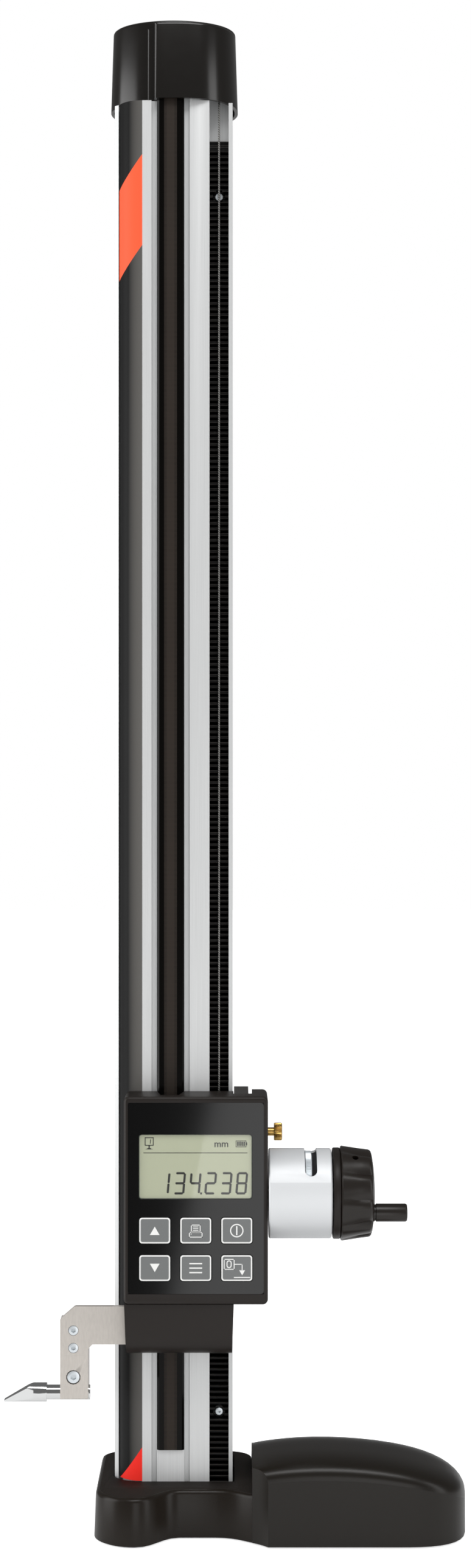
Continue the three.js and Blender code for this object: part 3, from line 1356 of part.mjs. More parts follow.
function makeProbeBlock() {
  const back = blockDepth - armFront;
  const shape = new THREE.Shape();
  const tongueTop = armTop - armScrewDrops[0] + armScrewRadius * 2;
  shape.moveTo(-armFront, blockLow + blockChamfer / 2);
  shape.lineTo(blockChamfer / 2 - armFront, blockLow);
  shape.lineTo(back, blockLow);
  shape.lineTo(back, tongueTop);
  shape.lineTo(armThickness + seatGap - armFront, tongueTop);
  shape.lineTo(armThickness + seatGap - armFront, blockTop);
  shape.lineTo(-armFront, blockTop);
  let block = prismX(shape, -armLeft, legRight)
    .subtract(turnedX(rod(-armLeft - overrun, legRight + overrun, probePinRadius + seatGap),
      back / 2 - armFront / 2, probeZ, 28))
    .subtract(turnedY(rod(-armFront - overrun, blockScrewSink - armFront, blockScrewRadius + 0.5),
      -armScrewX, blockTop - blockScrewDrop))
    .subtract(turnedY(rod(-armFront, back - overrun, screwShankRadius + runGap),
      -armScrewX, blockTop - blockScrewDrop, 8));
  for (const drop of armScrewDrops) {
    block = block.subtract(turnedY(rod(-armFront, back - overrun, screwShankRadius + runGap),
      -armScrewX, armTop - drop, 8));
  }
  return block;
}

function capScrew(headFront, sink, radius, tip, z) {
  return turnedY(rod(headFront, headFront + sink, radius), -armScrewX, z)
    .add(turnedY(rod(headFront + sink / 2, tip, screwShankRadius), -armScrewX, z, 8))
    .subtract(turnedY(rod(headFront - overrun, headFront + sink / 2, radius / 2), -armScrewX, z, 6));
}

function makeProbe() {
  const y = (blockDepth - armFront * 2) / 2;
  const bodyRight = -armLeft - probeStandOff;
  const bodyLeft = bodyRight - probeBodyLength;
  const low = carriageBottom - lowEndGap - baseTop;
  const pin = turnedX(rod(bodyRight - overrun / 2, legRight + 1, probePinRadius), y, probeZ, 28);
  const foot = outline([[bodyLeft - probeTipLength, low], [bodyRight, low],
    [bodyRight, low + probeBodyHeight], [bodyLeft, low + probeBodyHeight],
    [bodyLeft - probeTipLength, low + probeTipHeight]]);
  const plan = outline([[bodyLeft - probeTipLength, y - probeWidth / 4],
    [bodyLeft, y - probeWidth / 2], [bodyRight, y - probeWidth / 2],
    [bodyRight, y + probeWidth / 2], [bodyLeft, y + probeWidth / 2],
    [bodyLeft - probeTipLength, y + probeWidth / 4]]);
  const barrel = turnedX(rod(bodyLeft - probeTipLength, bodyRight, (probeBodyHeight + probeFlat) / 2),
    y, low + probeBodyHeight / 2, 28);
  return pin.add(barrel.intersect(prismY(foot, y - probeWidth, y + probeWidth))
    .intersect(prismZ(plan, low - overrun, low + probeBodyHeight + overrun)));
}

// Assembly
const gauge = new THREE.Group();
const drive = new THREE.Group();
drive.position.set(0, shaftY, shaftZ);
const pulleyGroup = new THREE.Group();
pulleyGroup.position.set(pulleyX, pulleyY, pulleyZ);
pulleyGroup.rotation.z = pulleyTurn;

gauge.add(
  piece('base_casting', makeBase(), castingPaint),
  piece('ground_sole', sole, groundSteel),
  piece('grip_cover', makeGripCover(), gripPlastic),
  ...boltPlaces.map(([x, y], i) => piece(`column_bolt_${i + 1}`, makeColumnBolt(x, y), darkSteel)),
  piece('column', makeColumn(), aluminium),
  piece('side_panel', makeSidePanel(), textureBlack),
  piece('scale_strip', makeScaleStrip(), scaleBlack),
  piece('scale_band', makeScaleBand(), scaleGlass),
  piece('rack', makeRack(), darkSteel),
  piece('rack_screw_upper', makeRackScrew(capBottom - rackTopGap - rackScrewUnder), zincSteel),
  piece('rack_screw_lower', makeRackScrew(rackScrewFoot), zincSteel),
  piece('pulley_frame', makeTopPlate(), zincSteel),
  piece('cap', capBody(0, capBottom, capTop, capRound).subtract(capInside), glossPlastic),
  piece('cable_front', cableStretch(rackCentre, cableY,
    cableAnchorZ + anchorHeight / 2 + fitGap, pulleyZ - fitGap), zincSteel),
  piece('cable_rear', cableStretch(weightX, weightY, weightTop + fitGap, pulleyZ - fitGap), zincSteel),
  piece('counterweight', makeCounterweight(), castIron),
);
pulleyGroup.add(
  piece('pulley_axle', makePulleyAxle(), groundSteel),
  piece('pulley', makePulley(), polymer),
  piece('cable_over_pulley', makeCableArc(), zincSteel),
);
gauge.add(
  piece('carriage_frame', makeCarriageFrame(), castingPaint),
  piece('guide_shoe_lower', makeGuideShoe(shoePlaces[0]), bronze),
  piece('guide_shoe_upper', makeGuideShoe(shoePlaces[1]), bronze),
  piece('roller_pin_lower', makeRollerPin(rollerPlaces[0]), groundSteel),
  piece('roller_pin_upper', makeRollerPin(rollerPlaces[1]), groundSteel),
  piece('guide_roller_lower', makeRoller(rollerPlaces[0]), groundSteel),
  piece('guide_roller_upper', makeRoller(rollerPlaces[1]), groundSteel),
  piece('reading_head', makeReadingHead(), scaleBlack),
  piece('cable_anchor', makeCableAnchor(), zincSteel),
  piece('display_housing', makeDisplayHousing(), housingPlastic),
  piece('display_panel', makePanel(), panelBlack),
  piece('display_window', makeWindow(), lcdGrey),
  piece('lcd_module', makeLcd(), lcdGrey),
  piece('circuit_board', makeBoard(), boardGreen),
  ...keyPlaces.map(([x, z], i) => piece(`key_${i + 1}`, makeKey(x, z), keyGrey)),
  piece('lower_cover', makeLowerCover(), housingPlastic),
  piece('lock_screw', makeLockScrew(), brass),
  piece('arm_plate', makeArmPlate(), satinNickel),
  piece('arm_screw_upper', capScrew(-armFront, screwSink - seatGap, armScrewRadius, -armFront + 10,
    armTop - armScrewDrops[0]), zincSteel),
  piece('arm_screw_lower', capScrew(-armFront, screwSink - seatGap, armScrewRadius, -armFront + 10,
    armTop - armScrewDrops[1]), zincSteel),
  piece('probe_block', makeProbeBlock(), satinNickel),
  piece('clamp_screw', capScrew(-armFront + fitGap, blockScrewSink - fitGap - seatGap,
    blockScrewRadius, 0, blockTop - blockScrewDrop), zincSteel),
  piece('probe', makeProbe(), groundSteel),
);
drive.add(
  piece('fine_adjust_sleeve', makeSleeve(), aluminium),
  piece('shaft_bush', makeBush(), bronze),
  piece('drive_shaft', makeDriveShaft(), groundSteel),
  piece('fine_wheel', makeFineWheel(), zincSteel),
  piece('knob_flange', makeFlange(), housingPlastic),
  piece('knob', makeKnob(), housingPlastic),
  piece('knob_set_screw', makeSetScrew(), darkSteel),
  piece('crank_axle', makeCrankAxle(), groundSteel),
  piece('crank_handle', makeCrankHandle(), housingPlastic),
);
gauge.add(drive, pulleyGroup);

export default gauge;
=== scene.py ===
import math
import bmesh
import bpy
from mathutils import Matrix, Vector


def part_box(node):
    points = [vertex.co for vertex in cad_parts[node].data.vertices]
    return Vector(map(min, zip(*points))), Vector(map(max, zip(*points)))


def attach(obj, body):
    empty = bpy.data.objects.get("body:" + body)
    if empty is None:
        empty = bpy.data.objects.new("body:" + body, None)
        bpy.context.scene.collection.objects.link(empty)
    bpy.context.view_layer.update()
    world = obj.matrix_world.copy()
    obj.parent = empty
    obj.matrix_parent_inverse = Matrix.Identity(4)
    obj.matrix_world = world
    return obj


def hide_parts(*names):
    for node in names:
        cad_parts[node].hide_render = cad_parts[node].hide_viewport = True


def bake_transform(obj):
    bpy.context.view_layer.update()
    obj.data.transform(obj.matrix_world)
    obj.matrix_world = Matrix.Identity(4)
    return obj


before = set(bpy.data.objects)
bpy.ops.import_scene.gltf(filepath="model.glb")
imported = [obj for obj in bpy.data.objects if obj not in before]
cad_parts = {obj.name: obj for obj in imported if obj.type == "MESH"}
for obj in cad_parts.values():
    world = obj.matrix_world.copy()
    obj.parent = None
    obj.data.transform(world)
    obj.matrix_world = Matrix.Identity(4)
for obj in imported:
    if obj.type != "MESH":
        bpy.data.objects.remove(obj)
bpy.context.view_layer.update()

# The stand is seen straight on, from a little to the right of the column and at half its
# height, far enough away that its sides stay upright. The lens fits the whole height.
eye = Vector((0.0396, -1.5087, 0.4734))
camera_data = bpy.data.cameras.new("view")
camera_data.sensor_width = 36
camera_data.lens = 54.50
camera = bpy.data.objects.new("view", camera_data)
camera.location = eye
camera.rotation_euler = (math.pi / 2, 0, 0)
bpy.context.scene.collection.objects.link(camera)
bpy.context.scene.camera = camera
bpy.context.scene.view_settings.view_transform = "Standard"

# A pale floor that runs to white, in a studio that the camera sees as white and gloss sees as
# grey. Soft boxes at both sides and overhead draw the highlights, and a low one in front on
# the right, turned a little, gives the display its slanting sheen.
world = bpy.data.worlds.new("studio")
bpy.context.scene.world = world
world.use_nodes = True
sky_nodes, sky_links = world.node_tree.nodes, world.node_tree.links
backdrop = sky_nodes["Background"]
backdrop.inputs["Color"].default_value = (1, 1, 1, 1)
rays = sky_nodes.new("ShaderNodeLightPath")
around = sky_nodes.new("ShaderNodeMix")
around.inputs["A"].default_value = 0.60
around.inputs["B"].default_value = 0.16
sky_links.new(rays.outputs["Is Glossy Ray"], around.inputs["Factor"])
clear_rays = sky_nodes.new("ShaderNodeMath")
clear_rays.operation = "MAXIMUM"
sky_links.new(rays.outputs["Is Camera Ray"], clear_rays.inputs[0])
sky_links.new(rays.outputs["Is Transmission Ray"], clear_rays.inputs[1])
strength = sky_nodes.new("ShaderNodeMix")
strength.inputs["B"].default_value = 1.0
sky_links.new(clear_rays.outputs[0], strength.inputs["Factor"])
sky_links.new(around.outputs["Result"], strength.inputs["A"])
sky_links.new(strength.outputs["Result"], backdrop.inputs["Strength"])

for lamp, place, target, size, power in (
    ("left", (-1.42, -0.26, 0.70), (0.04, 0, 0.50), (1.05, 1.5), 14.5),
    ("right", (1.33, -0.72, 0.70), (0.04, 0, 0.50), (0.50, 1.7), 6.0),
    ("over", (0.20, -0.95, 2.15), (0.04, 0, 0.30), (1.3, 0.7), 17.0),
    ("low", (0.249, -1.1, 0.035), (0.249, 0, 0.035), (0.50, 0.56), 1.6),
):
    light = bpy.data.lights.new("soft_box_" + lamp, "AREA")
    light.shape = "RECTANGLE"
    light.size, light.size_y = size
    light.energy = power
    box = bpy.data.objects.new("soft_box_" + lamp, light)
    box.location = place
    box.rotation_euler = (Vector(target) - Vector(place)).to_track_quat("-Z", "Y").to_euler()
    bpy.context.scene.collection.objects.link(box)
# the last one, the low box, looks straight to the rear and leans sideways
box.rotation_euler = (math.radians(90), math.radians(11.3), 0)

bpy.ops.object.select_all(action="DESELECT")
bpy.ops.mesh.primitive_plane_add(size=8, location=(0, 3.4, -0.0002))
floor = bpy.context.object
floor.name = "floor"
paper = bpy.data.materials.new("pale_floor")
paper.use_nodes = True
paper_nodes, paper_links = paper.node_tree.nodes, paper.node_tree.links
paper_shader = paper_nodes["Principled BSDF"]
paper_shader.inputs["Base Color"].default_value = (0.86, 0.86, 0.86, 1)
paper_shader.inputs["Roughness"].default_value = 0.9
paper_shader.inputs["Specular IOR Level"].default_value = 0.0
paper_shader.inputs["Emission Color"].default_value = (1, 1, 1, 1)
paper_rays = paper_nodes.new("ShaderNodeLightPath")
paper_glow = paper_nodes.new("ShaderNodeMath")
paper_glow.operation = "MULTIPLY"
paper_glow.inputs[1].default_value = 0.72
paper_links.new(paper_rays.outputs["Is Camera Ray"], paper_glow.inputs[0])
paper_links.new(paper_glow.outputs[0], paper_shader.inputs["Emission Strength"])
floor.data.materials.append(paper)


# The base is an iron casting under dark satin paint: a block with a rounded lobe at the left,
# a hollow waist and a wing that the grip hides. Its flat top is painted duller than its sides.
def seen(red, green, blue):
    """a colour as the eye reads it, from 0 to 255, as the linear values a shader takes"""
    return [((c / 255 + 0.055) / 1.055) ** 2.4 if c > 10 else c / 3295 for c in (red, green, blue)]


def finish(name, colour, roughness, metallic=0.0, grain=900.0, depth=0.0, specular=0.5, spread=0.06):
    """a painted, moulded or metal surface with a fine grain in its gloss and relief"""
    surface = bpy.data.materials.new(name)
    surface.use_nodes = True
    nodes, links = surface.node_tree.nodes, surface.node_tree.links
    shader = nodes["Principled BSDF"]
    shader.inputs["Base Color"].default_value = (*seen(*colour), 1)
    shader.inputs["Metallic"].default_value = metallic
    shader.inputs["Specular IOR Level"].default_value = specular
    place = nodes.new("ShaderNodeTexCoord")
    noise = nodes.new("ShaderNodeTexNoise")
    noise.inputs["Scale"].default_value = grain
    noise.inputs["Detail"].default_value = 3
    links.new(place.outputs["Object"], noise.inputs["Vector"])
    gloss = nodes.new("ShaderNodeMapRange")
    gloss.inputs["To Min"].default_value = max(roughness - spread, 0.02)
    gloss.inputs["To Max"].default_value = roughness + spread
    links.new(noise.outputs["Fac"], gloss.inputs["Value"])
    links.new(gloss.outputs[0], shader.inputs["Roughness"])
    if depth:
        relief = nodes.new("ShaderNodeBump")
        relief.inputs["Strength"].default_value = 0.5
        relief.inputs["Distance"].default_value = depth
        links.new(noise.outputs["Fac"], relief.inputs["Height"])
        links.new(relief.outputs["Normal"], shader.inputs["Normal"])
    return surface


def only(piece):
    """selects one piece and nothing else"""
    bpy.ops.object.select_all(action="DESELECT")
    piece.select_set(True)
    bpy.context.view_layer.objects.active = piece


def smooth(piece, angle):
    """shades the faces of a piece as round wherever they meet at less than an angle"""
    only(piece)
    bpy.ops.object.shade_smooth_by_angle(angle=math.radians(angle))


def twin(node, name, angle=35):
    """a fresh copy of a frame solid with its loose triangles joined, for a smoother finish"""
    piece = bpy.data.objects.new(name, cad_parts[node].data.copy())
    bpy.context.scene.collection.objects.link(piece)
    only(piece)
    bpy.ops.object.mode_set(mode="EDIT")
    bpy.ops.mesh.select_all(action="SELECT")
    bpy.ops.mesh.remove_doubles(threshold=0.000002)
    bpy.ops.mesh.dissolve_limited(angle_limit=math.radians(0.3))
    bpy.ops.object.mode_set(mode="OBJECT")
    smooth(piece, angle)
    return piece


def dress(piece, *surfaces):
    """gives a piece its materials"""
    piece.data.materials.clear()
    for surface in surfaces:
        piece.data.materials.append(surface)


def fit(piece, body, slot, *nodes):
    """lets a piece ride on its body and stand for frame solids; its slot is not used"""
    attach(piece, body)
    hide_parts(*nodes)


def choose(piece, domain, test):
    """opens a piece for editing with the corners, edges or faces selected that pass a test"""
    if piece.mode != "EDIT":
        only(piece)
        bpy.ops.object.mode_set(mode="EDIT")
    bpy.ops.mesh.select_mode(type=domain)
    bpy.ops.mesh.select_all(action="DESELECT")
    mesh = bmesh.from_edit_mesh(piece.data)
    if domain == "VERT":
        for corner in mesh.verts:
            corner.select_set(test(corner.co))
    elif domain == "EDGE":
        for edge in mesh.edges:
            a, b = (corner.co for corner in edge.verts)
            edge.select_set(test((a + b) / 2, (b - a).normalized()))
    else:
        for face in mesh.faces:
            face.select_set(test(face.calc_center_median(), face.normal))
    mesh.select_flush_mode()
    bmesh.update_edit_mesh(piece.data)


base_paint = finish("base_paint", (28, 23, 18), 0.3, grain=1400, depth=0.00003, specular=0.24)
top_paint = finish("base_top_paint", (38, 34, 31), 0.7, grain=1400, depth=0.00003, specular=0.1)
base = twin("base_casting", "base_body", 50)
dress(base, base_paint, top_paint)
choose(base, "FACE", lambda at, out: out.z > 0.99)
base.active_material_index = 1
bpy.ops.object.material_slot_assign()
bpy.ops.object.mode_set(mode="OBJECT")
fit(base, "stand", "casting_paint", "base_casting")

# Its underside is a ground steel sole, scraped flat, and four socket screws come up through
# the casting into the column. Both stay as the frame has them.
ground_steel = finish("ground_steel", (196, 198, 200), 0.26, 1.0, grain=2600)
dress(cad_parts["ground_sole"], ground_steel)
black_steel = finish("black_steel", (52, 52, 54), 0.45, 1.0)
for number in range(1, 5):
    dress(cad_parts[f"column_bolt_{number}"], black_steel)


# The palm grip is a thin matt moulding over the wing: flat sides, a deep round at the shoulder,
# a crest that falls away to a rounded end, and a hollow cut where it meets the base.
def start(kind, name, **place):
    """adds a primitive at its size and place, with that place kept in its mesh"""
    bpy.ops.object.select_all(action="DESELECT")
    getattr(bpy.ops.mesh, "primitive_" + kind + "_add")(**place)
    piece = bpy.context.object
    piece.name = name
    bpy.ops.object.transform_apply(location=True, rotation=True, scale=True)
    return piece


def block(name, low, high):
    """a cuboid between two corners"""
    return start("cube", name, size=1, location=[(a + b) / 2 for a, b in zip(low, high)],
                 scale=[b - a for a, b in zip(low, high)])


def close(piece):
    """ends the editing of a piece with its faces pointing outwards"""
    if piece.mode != "EDIT":
        only(piece)
        bpy.ops.object.mode_set(mode="EDIT")
    bpy.ops.mesh.select_all(action="SELECT")
    bpy.ops.mesh.normals_make_consistent(inside=False)
    bpy.ops.object.mode_set(mode="OBJECT")


def carve(piece, tool, how="DIFFERENCE", solver="EXACT"):
    """cuts a piece with a tool, or joins them, and clears the tool away"""
    change = piece.modifiers.new("carve", "BOOLEAN")
    change.operation = how
    change.solver = solver
    change.object = tool
    only(piece)
    bpy.ops.object.modifier_apply(modifier="carve")
    bpy.data.objects.remove(tool)


grip_left, grip_right, grip_top, grip_foot = 0.0500, 0.1852, 0.0544, 0.0010
rise_share, rise_drop, end_height = 0.32, 0.078, 0.48


def grip_crest(x):
    """height of the crest along the grip: a slow rise, then an elliptic fall to the right end"""
    share = (x - grip_left) / (grip_right - grip_left)
    if share < rise_share:
        return grip_top * (1 - rise_drop * (1 - share / rise_share) ** 2)
    fall = min((share - rise_share) / (1 - rise_share), 1.0)
    return grip_top * (end_height + (1 - end_height) * math.sqrt(1 - fall * fall))


# its section at the left end, from the front foot over the crest to the rear foot
grip_front, grip_rear = (-0.0400, 3.5, 0.70), (0.0540, 2.3, 0.404)
section = []
for step in range(37):
    lean = math.radians(step * 5 - 90)
    reach, power, straight = grip_front if lean < 0 else grip_rear
    height = straight + (1 - straight) * abs(math.cos(lean)) ** (2 / power)
    section.append((reach * abs(math.sin(lean)) ** (2 / power), grip_crest(grip_left) * height))
x_now = grip_left + 0.0010
y_now, z_now = section[1]
grip = block("grip_moulding", (grip_left, section[0][0], grip_foot), (x_now, y_now, z_now))
choose(grip, "VERT", lambda at: at.y < y_now - 0.0001 and at.z > grip_foot + 0.0001)
bpy.ops.transform.translate(value=(0, 0, section[0][1] - z_now))
for y, z in section[2:]:
    choose(grip, "FACE", lambda at, out: out.y > 0.9 and at.y > y_now - 0.0001)
    bpy.ops.mesh.extrude_region_move(TRANSFORM_OT_translate={"value": (0, y - y_now, 0)})
    bpy.ops.transform.resize(value=(1, 1, (z - grip_foot) / (z_now - grip_foot)),
                             center_override=(0, y, grip_foot))
    y_now, z_now = y, z

# the section runs along the grip and narrows over the rounded right end
round_start, round_length, round_power, round_middle = 0.1407, 0.0445, 2.9, 0.0050
stations = [0.0550, 0.0600, 0.0660, 0.0720, 0.0800, 0.0900, 0.1000, 0.1100, 0.1200, 0.1300]
stations += [round_start + round_length * math.sin(math.radians(turn))
             for turn in (*range(0, 90, 9), 85, 88.5)]
width_now, crest_now = 1.0, grip_crest(grip_left)
for x in stations:
    beyond = max(0.0, (x - round_start) / round_length)
    width, crest = (1 - beyond ** round_power) ** (1 / round_power), grip_crest(x)
    choose(grip, "FACE", lambda at, out: out.x > 0.9 and at.x > x_now - 0.0001)
    bpy.ops.mesh.extrude_region_move(TRANSFORM_OT_translate={"value": (x - x_now, 0, 0)})
    bpy.ops.transform.resize(
        value=(1, width / width_now, (crest - grip_foot) / (crest_now - grip_foot)),
        center_override=(x, round_middle, grip_foot))
    width_now, crest_now, x_now = width, crest, x
close(grip)
carve(grip, start("cylinder", "corner_tool", vertices=160, radius=0.040, depth=0.16,
                  location=(0.02875, -0.06525, 0.03)))
choose(grip, "FACE", lambda at, out: out.z < -0.9 and at.z < grip_foot + 0.0010)
bpy.ops.mesh.delete(type="FACE")
bpy.ops.object.mode_set(mode="OBJECT")
wall = grip.modifiers.new("wall", "SOLIDIFY")
wall.thickness = 0.0024
wall.offset = -1
wall.use_even_offset = False
only(grip)
bpy.ops.object.modifier_apply(modifier="wall")
smooth(grip, 38)
grip_matt = finish("grip_matt", (24, 20, 15), 0.32, grain=2200, depth=0.00003, specular=0.34)
dress(grip, grip_matt)
fit(grip, "stand", "grip_moulding", "grip_cover")


# The column is an aluminium extrusion, satin outside, with ground lands on its front, hooked
# grooves beside the scale and a channel for the rack. Fine lines run along it from the die.
def drawn_metal(name, colour, roughness, across, along, metallic=0.55):
    """metal with straight lines that run along Z, as drawing and grinding leave them"""
    surface = finish(name, colour, roughness, metallic)
    nodes, links = surface.node_tree.nodes, surface.node_tree.links
    shader = nodes["Principled BSDF"]
    place = nodes["Texture Coordinate"]
    stretch = nodes.new("ShaderNodeMapping")
    stretch.inputs["Scale"].default_value = (across, across, along)
    lines = nodes.new("ShaderNodeTexNoise")
    lines.inputs["Scale"].default_value = 1
    lines.inputs["Detail"].default_value = 4
    links.new(place.outputs["Object"], stretch.inputs["Vector"])
    links.new(stretch.outputs["Vector"], lines.inputs["Vector"])
    tone = nodes.new("ShaderNodeMix")
    tone.data_type = "RGBA"
    tone.inputs["A"].default_value = (*[c * 0.86 for c in seen(*colour)], 1)
    tone.inputs["B"].default_value = (*[min(c * 1.1, 1) for c in seen(*colour)], 1)
    links.new(lines.outputs["Fac"], tone.inputs["Factor"])
    links.new(tone.outputs["Result"], shader.inputs["Base Color"])
    relief = nodes.new("ShaderNodeBump")
    relief.inputs["Strength"].default_value = 0.25
    relief.inputs["Distance"].default_value = 0.00002
    links.new(lines.outputs["Fac"], relief.inputs["Height"])
    links.new(relief.outputs["Normal"], shader.inputs["Normal"])
    return surface


column = twin("column", "column_extrusion", 32)
column_metal = drawn_metal("column_metal", (213, 214, 214), 0.42, 2600, 14, 0.25)
dress(column, column_metal)
fit(column, "stand", "aluminium", "column")


# A grained black sheet wraps the column's left front corner, and its colour is darkened with painted
# shade where it turns away from the view. A slanted orange field is printed near its top and a red
# corner at its foot.
def reckon(nodes, links, how, *values):
    """a maths node over sockets or plain numbers, as its output"""
    step = nodes.new("ShaderNodeMath")
    step.operation = how
    for socket, value in zip(step.inputs, values):
        if isinstance(value, (int, float)):
            socket.default_value = value
        else:
            links.new(value, socket)
    return step.outputs[0]


def mixed(nodes, links, share, under, over):
    """one colour over another by a share, each a socket or a colour as the eye reads it"""
    mix = nodes.new("ShaderNodeMix")
    mix.data_type = "RGBA"
    links.new(share, mix.inputs["Factor"])
    for name, tone in (("A", under), ("B", over)):
        if isinstance(tone, tuple):
            mix.inputs[name].default_value = (*seen(*tone), 1)
        else:
            links.new(tone, mix.inputs[name])
    return mix.outputs["Result"]


def places(nodes, links):
    """the object's own X, Y and Z as three outputs"""
    parts = nodes.new("ShaderNodeSeparateXYZ")
    links.new(nodes["Texture Coordinate"].outputs["Object"], parts.inputs[0])
    return parts.outputs


def slanted(nodes, links, slope, low, high):
    """a mask that is 1 between two slanted lines over X and Z, given at X = 0"""
    place = places(nodes, links)
    lean = reckon(nodes, links, "MULTIPLY_ADD", place["X"], -slope, place["Z"])
    return reckon(nodes, links, "MULTIPLY", reckon(nodes, links, "GREATER_THAN", lean, low),
                  reckon(nodes, links, "LESS_THAN", lean, high))


panel = twin("side_panel", "side_sheet", 30)
sheet_black = finish("sheet_black", (92, 90, 87), 0.55, grain=2600, depth=0.00006, specular=0.2,
                     spread=0.05)
nodes, links = sheet_black.node_tree.nodes, sheet_black.node_tree.links
# painted shade: the colour falls from grey where the sheet faces the view to near black where it
# turns away
turned = nodes.new("ShaderNodeLayerWeight")
painted_shade_falloff = nodes.new("ShaderNodeMapRange")
painted_shade_falloff.inputs["From Max"].default_value = 0.22
links.new(turned.outputs["Facing"], painted_shade_falloff.inputs["Value"])
tone = mixed(nodes, links, painted_shade_falloff.outputs[0], (94, 92, 89), (7, 7, 7))
for printed, slope, low, high in (
    ((252, 92, 56), 1.385, 0.8434, 0.9011),
    ((250, 48, 38), 1.49, -1.0, 0.0812),
):
    tone = mixed(nodes, links, slanted(nodes, links, slope, low, high), tone, printed)
links.new(tone, nodes["Principled BSDF"].inputs["Base Color"])
dress(panel, sheet_black)
fit(panel, "stand", "black_texture", "side_panel")

# The scale is a glossy black strip glued to the middle land, bevelled along its sides, with a
# brown graduated band let into it whose fine lines are cut every 0.8 mm.
strip_black = finish("strip_black", (8, 7, 6), 0.12, specular=0.12, spread=0.03)
dress(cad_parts["scale_strip"], strip_black)
band_brown = finish("band_brown", (60, 52, 46), 0.5, specular=0.15)
nodes, links = band_brown.node_tree.nodes, band_brown.node_tree.links
line_pitch, line_width, band_middle = 0.0008, 0.00034, -0.00165
faint_half, faint_edge, faint_share = 0.0024, 0.00005, 0.35
place = places(nodes, links)
beat = reckon(nodes, links, "PINGPONG", place["Z"], line_pitch / 2)
lined = reckon(nodes, links, "LESS_THAN", beat, line_width / 2)
outer = nodes.new("ShaderNodeMapRange")
outer.inputs["From Min"].default_value = faint_half - faint_edge
outer.inputs["From Max"].default_value = faint_half + faint_edge
outer.inputs["To Min"].default_value = faint_share
aside = reckon(nodes, links, "ADD", place["X"], -band_middle)
links.new(reckon(nodes, links, "ABSOLUTE", aside), outer.inputs["Value"])
lined = reckon(nodes, links, "MULTIPLY", lined, outer.outputs[0])
links.new(mixed(nodes, links, lined, (50, 43, 38), (12, 11, 10)),
          nodes["Principled BSDF"].inputs["Base Color"])
dress(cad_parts["scale_band"], band_brown)

# The rack lies in the column's channel: blackened steel with thin pale lines of painted highlight
# along its tooth edges, with a tooth opposite the drive shaft's axis, held by two bright screws.
axis_y, axis_z = -0.00365, 0.2141
tooth_pitch, crest_edge, edge_width = 0.0036128, 0.00056, 0.00028
rack_black = finish("rack_black", (16, 16, 16), 0.42, 0.2, specular=0.2)
nodes, links = rack_black.node_tree.nodes, rack_black.node_tree.links
from_shaft = reckon(nodes, links, "SUBTRACT", places(nodes, links)["Z"], axis_z)
from_tooth = reckon(nodes, links, "PINGPONG", from_shaft, tooth_pitch / 2)
# painted highlight: thin pale lines at the tooth edges, where they would catch the light
painted_edge_highlight = reckon(nodes, links, "COMPARE", from_tooth, crest_edge, edge_width / 2)
links.new(mixed(nodes, links, painted_edge_highlight, (8, 8, 8), (82, 79, 76)),
          nodes["Principled BSDF"].inputs["Base Color"])
dress(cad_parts["rack"], rack_black)


def drawn(name, axis, centre, profile, sides):
    """a turned piece: a disc is drawn along an axis and resized at each place of its profile"""
    way = Vector([(1, 0, 0), (0, 1, 0), (0, 0, 1)]["XYZ".index(axis)])
    tilt = {"X": (0, math.pi / 2, 0), "Y": (-math.pi / 2, 0, 0), "Z": (0, 0, 0)}[axis]
    along, radius = profile[0]
    piece = start("circle", name, vertices=sides, radius=radius, fill_type="NGON",
                  location=Vector(centre) + way * along, rotation=tilt)
    only(piece)
    bpy.ops.object.mode_set(mode="EDIT")
    bpy.ops.mesh.select_all(action="SELECT")
    for further, wider in profile[1:]:
        bpy.ops.mesh.extrude_region_move(TRANSFORM_OT_translate={"value": way * (further - along)})
        share = wider / radius
        bpy.ops.transform.resize(value=[1 if step else share for step in way],
                                 center_override=Vector(centre) + way * further)
        along, radius = further, wider
    close(piece)
    return piece


bright_zinc = finish("bright_zinc", (222, 228, 232), 0.3, 0.6)


def cap_screw(name, x, y, z, radius, height, key):
    """a socket head screw that faces the front, with a rounded rim and a hexagon socket"""
    head = drawn(name, "Y", (x, y, z), [(height, radius * 0.55), (height, radius),
                 (radius * 0.12, radius), (radius * 0.03, radius * 0.96), (0, radius * 0.86)], 32)
    carve(head, start("cylinder", "key_tool", vertices=6, radius=key, depth=height,
                      location=(x, y, z), rotation=(math.pi / 2, 0, 0)))
    smooth(head, 30)
    dress(head, bright_zinc)
    return head


for end in ("upper", "lower"):
    low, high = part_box("rack_screw_" + end)
    screw = cap_screw("rack_screw_head_" + end, (low.x + high.x) / 2, low.y,
                      (low.z + high.z) / 2, 0.0024, high.y - low.y, 0.0011)
    fit(screw, "stand", "zinc_steel", "rack_screw_" + end)

# The cap closes the column's top: a glossy drafted moulding with a lower, more forward part on
# its right, a rib beside that part, and an even wall at its open rim.
low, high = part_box("cap")
cap_middle = (low.y + high.y) / 2


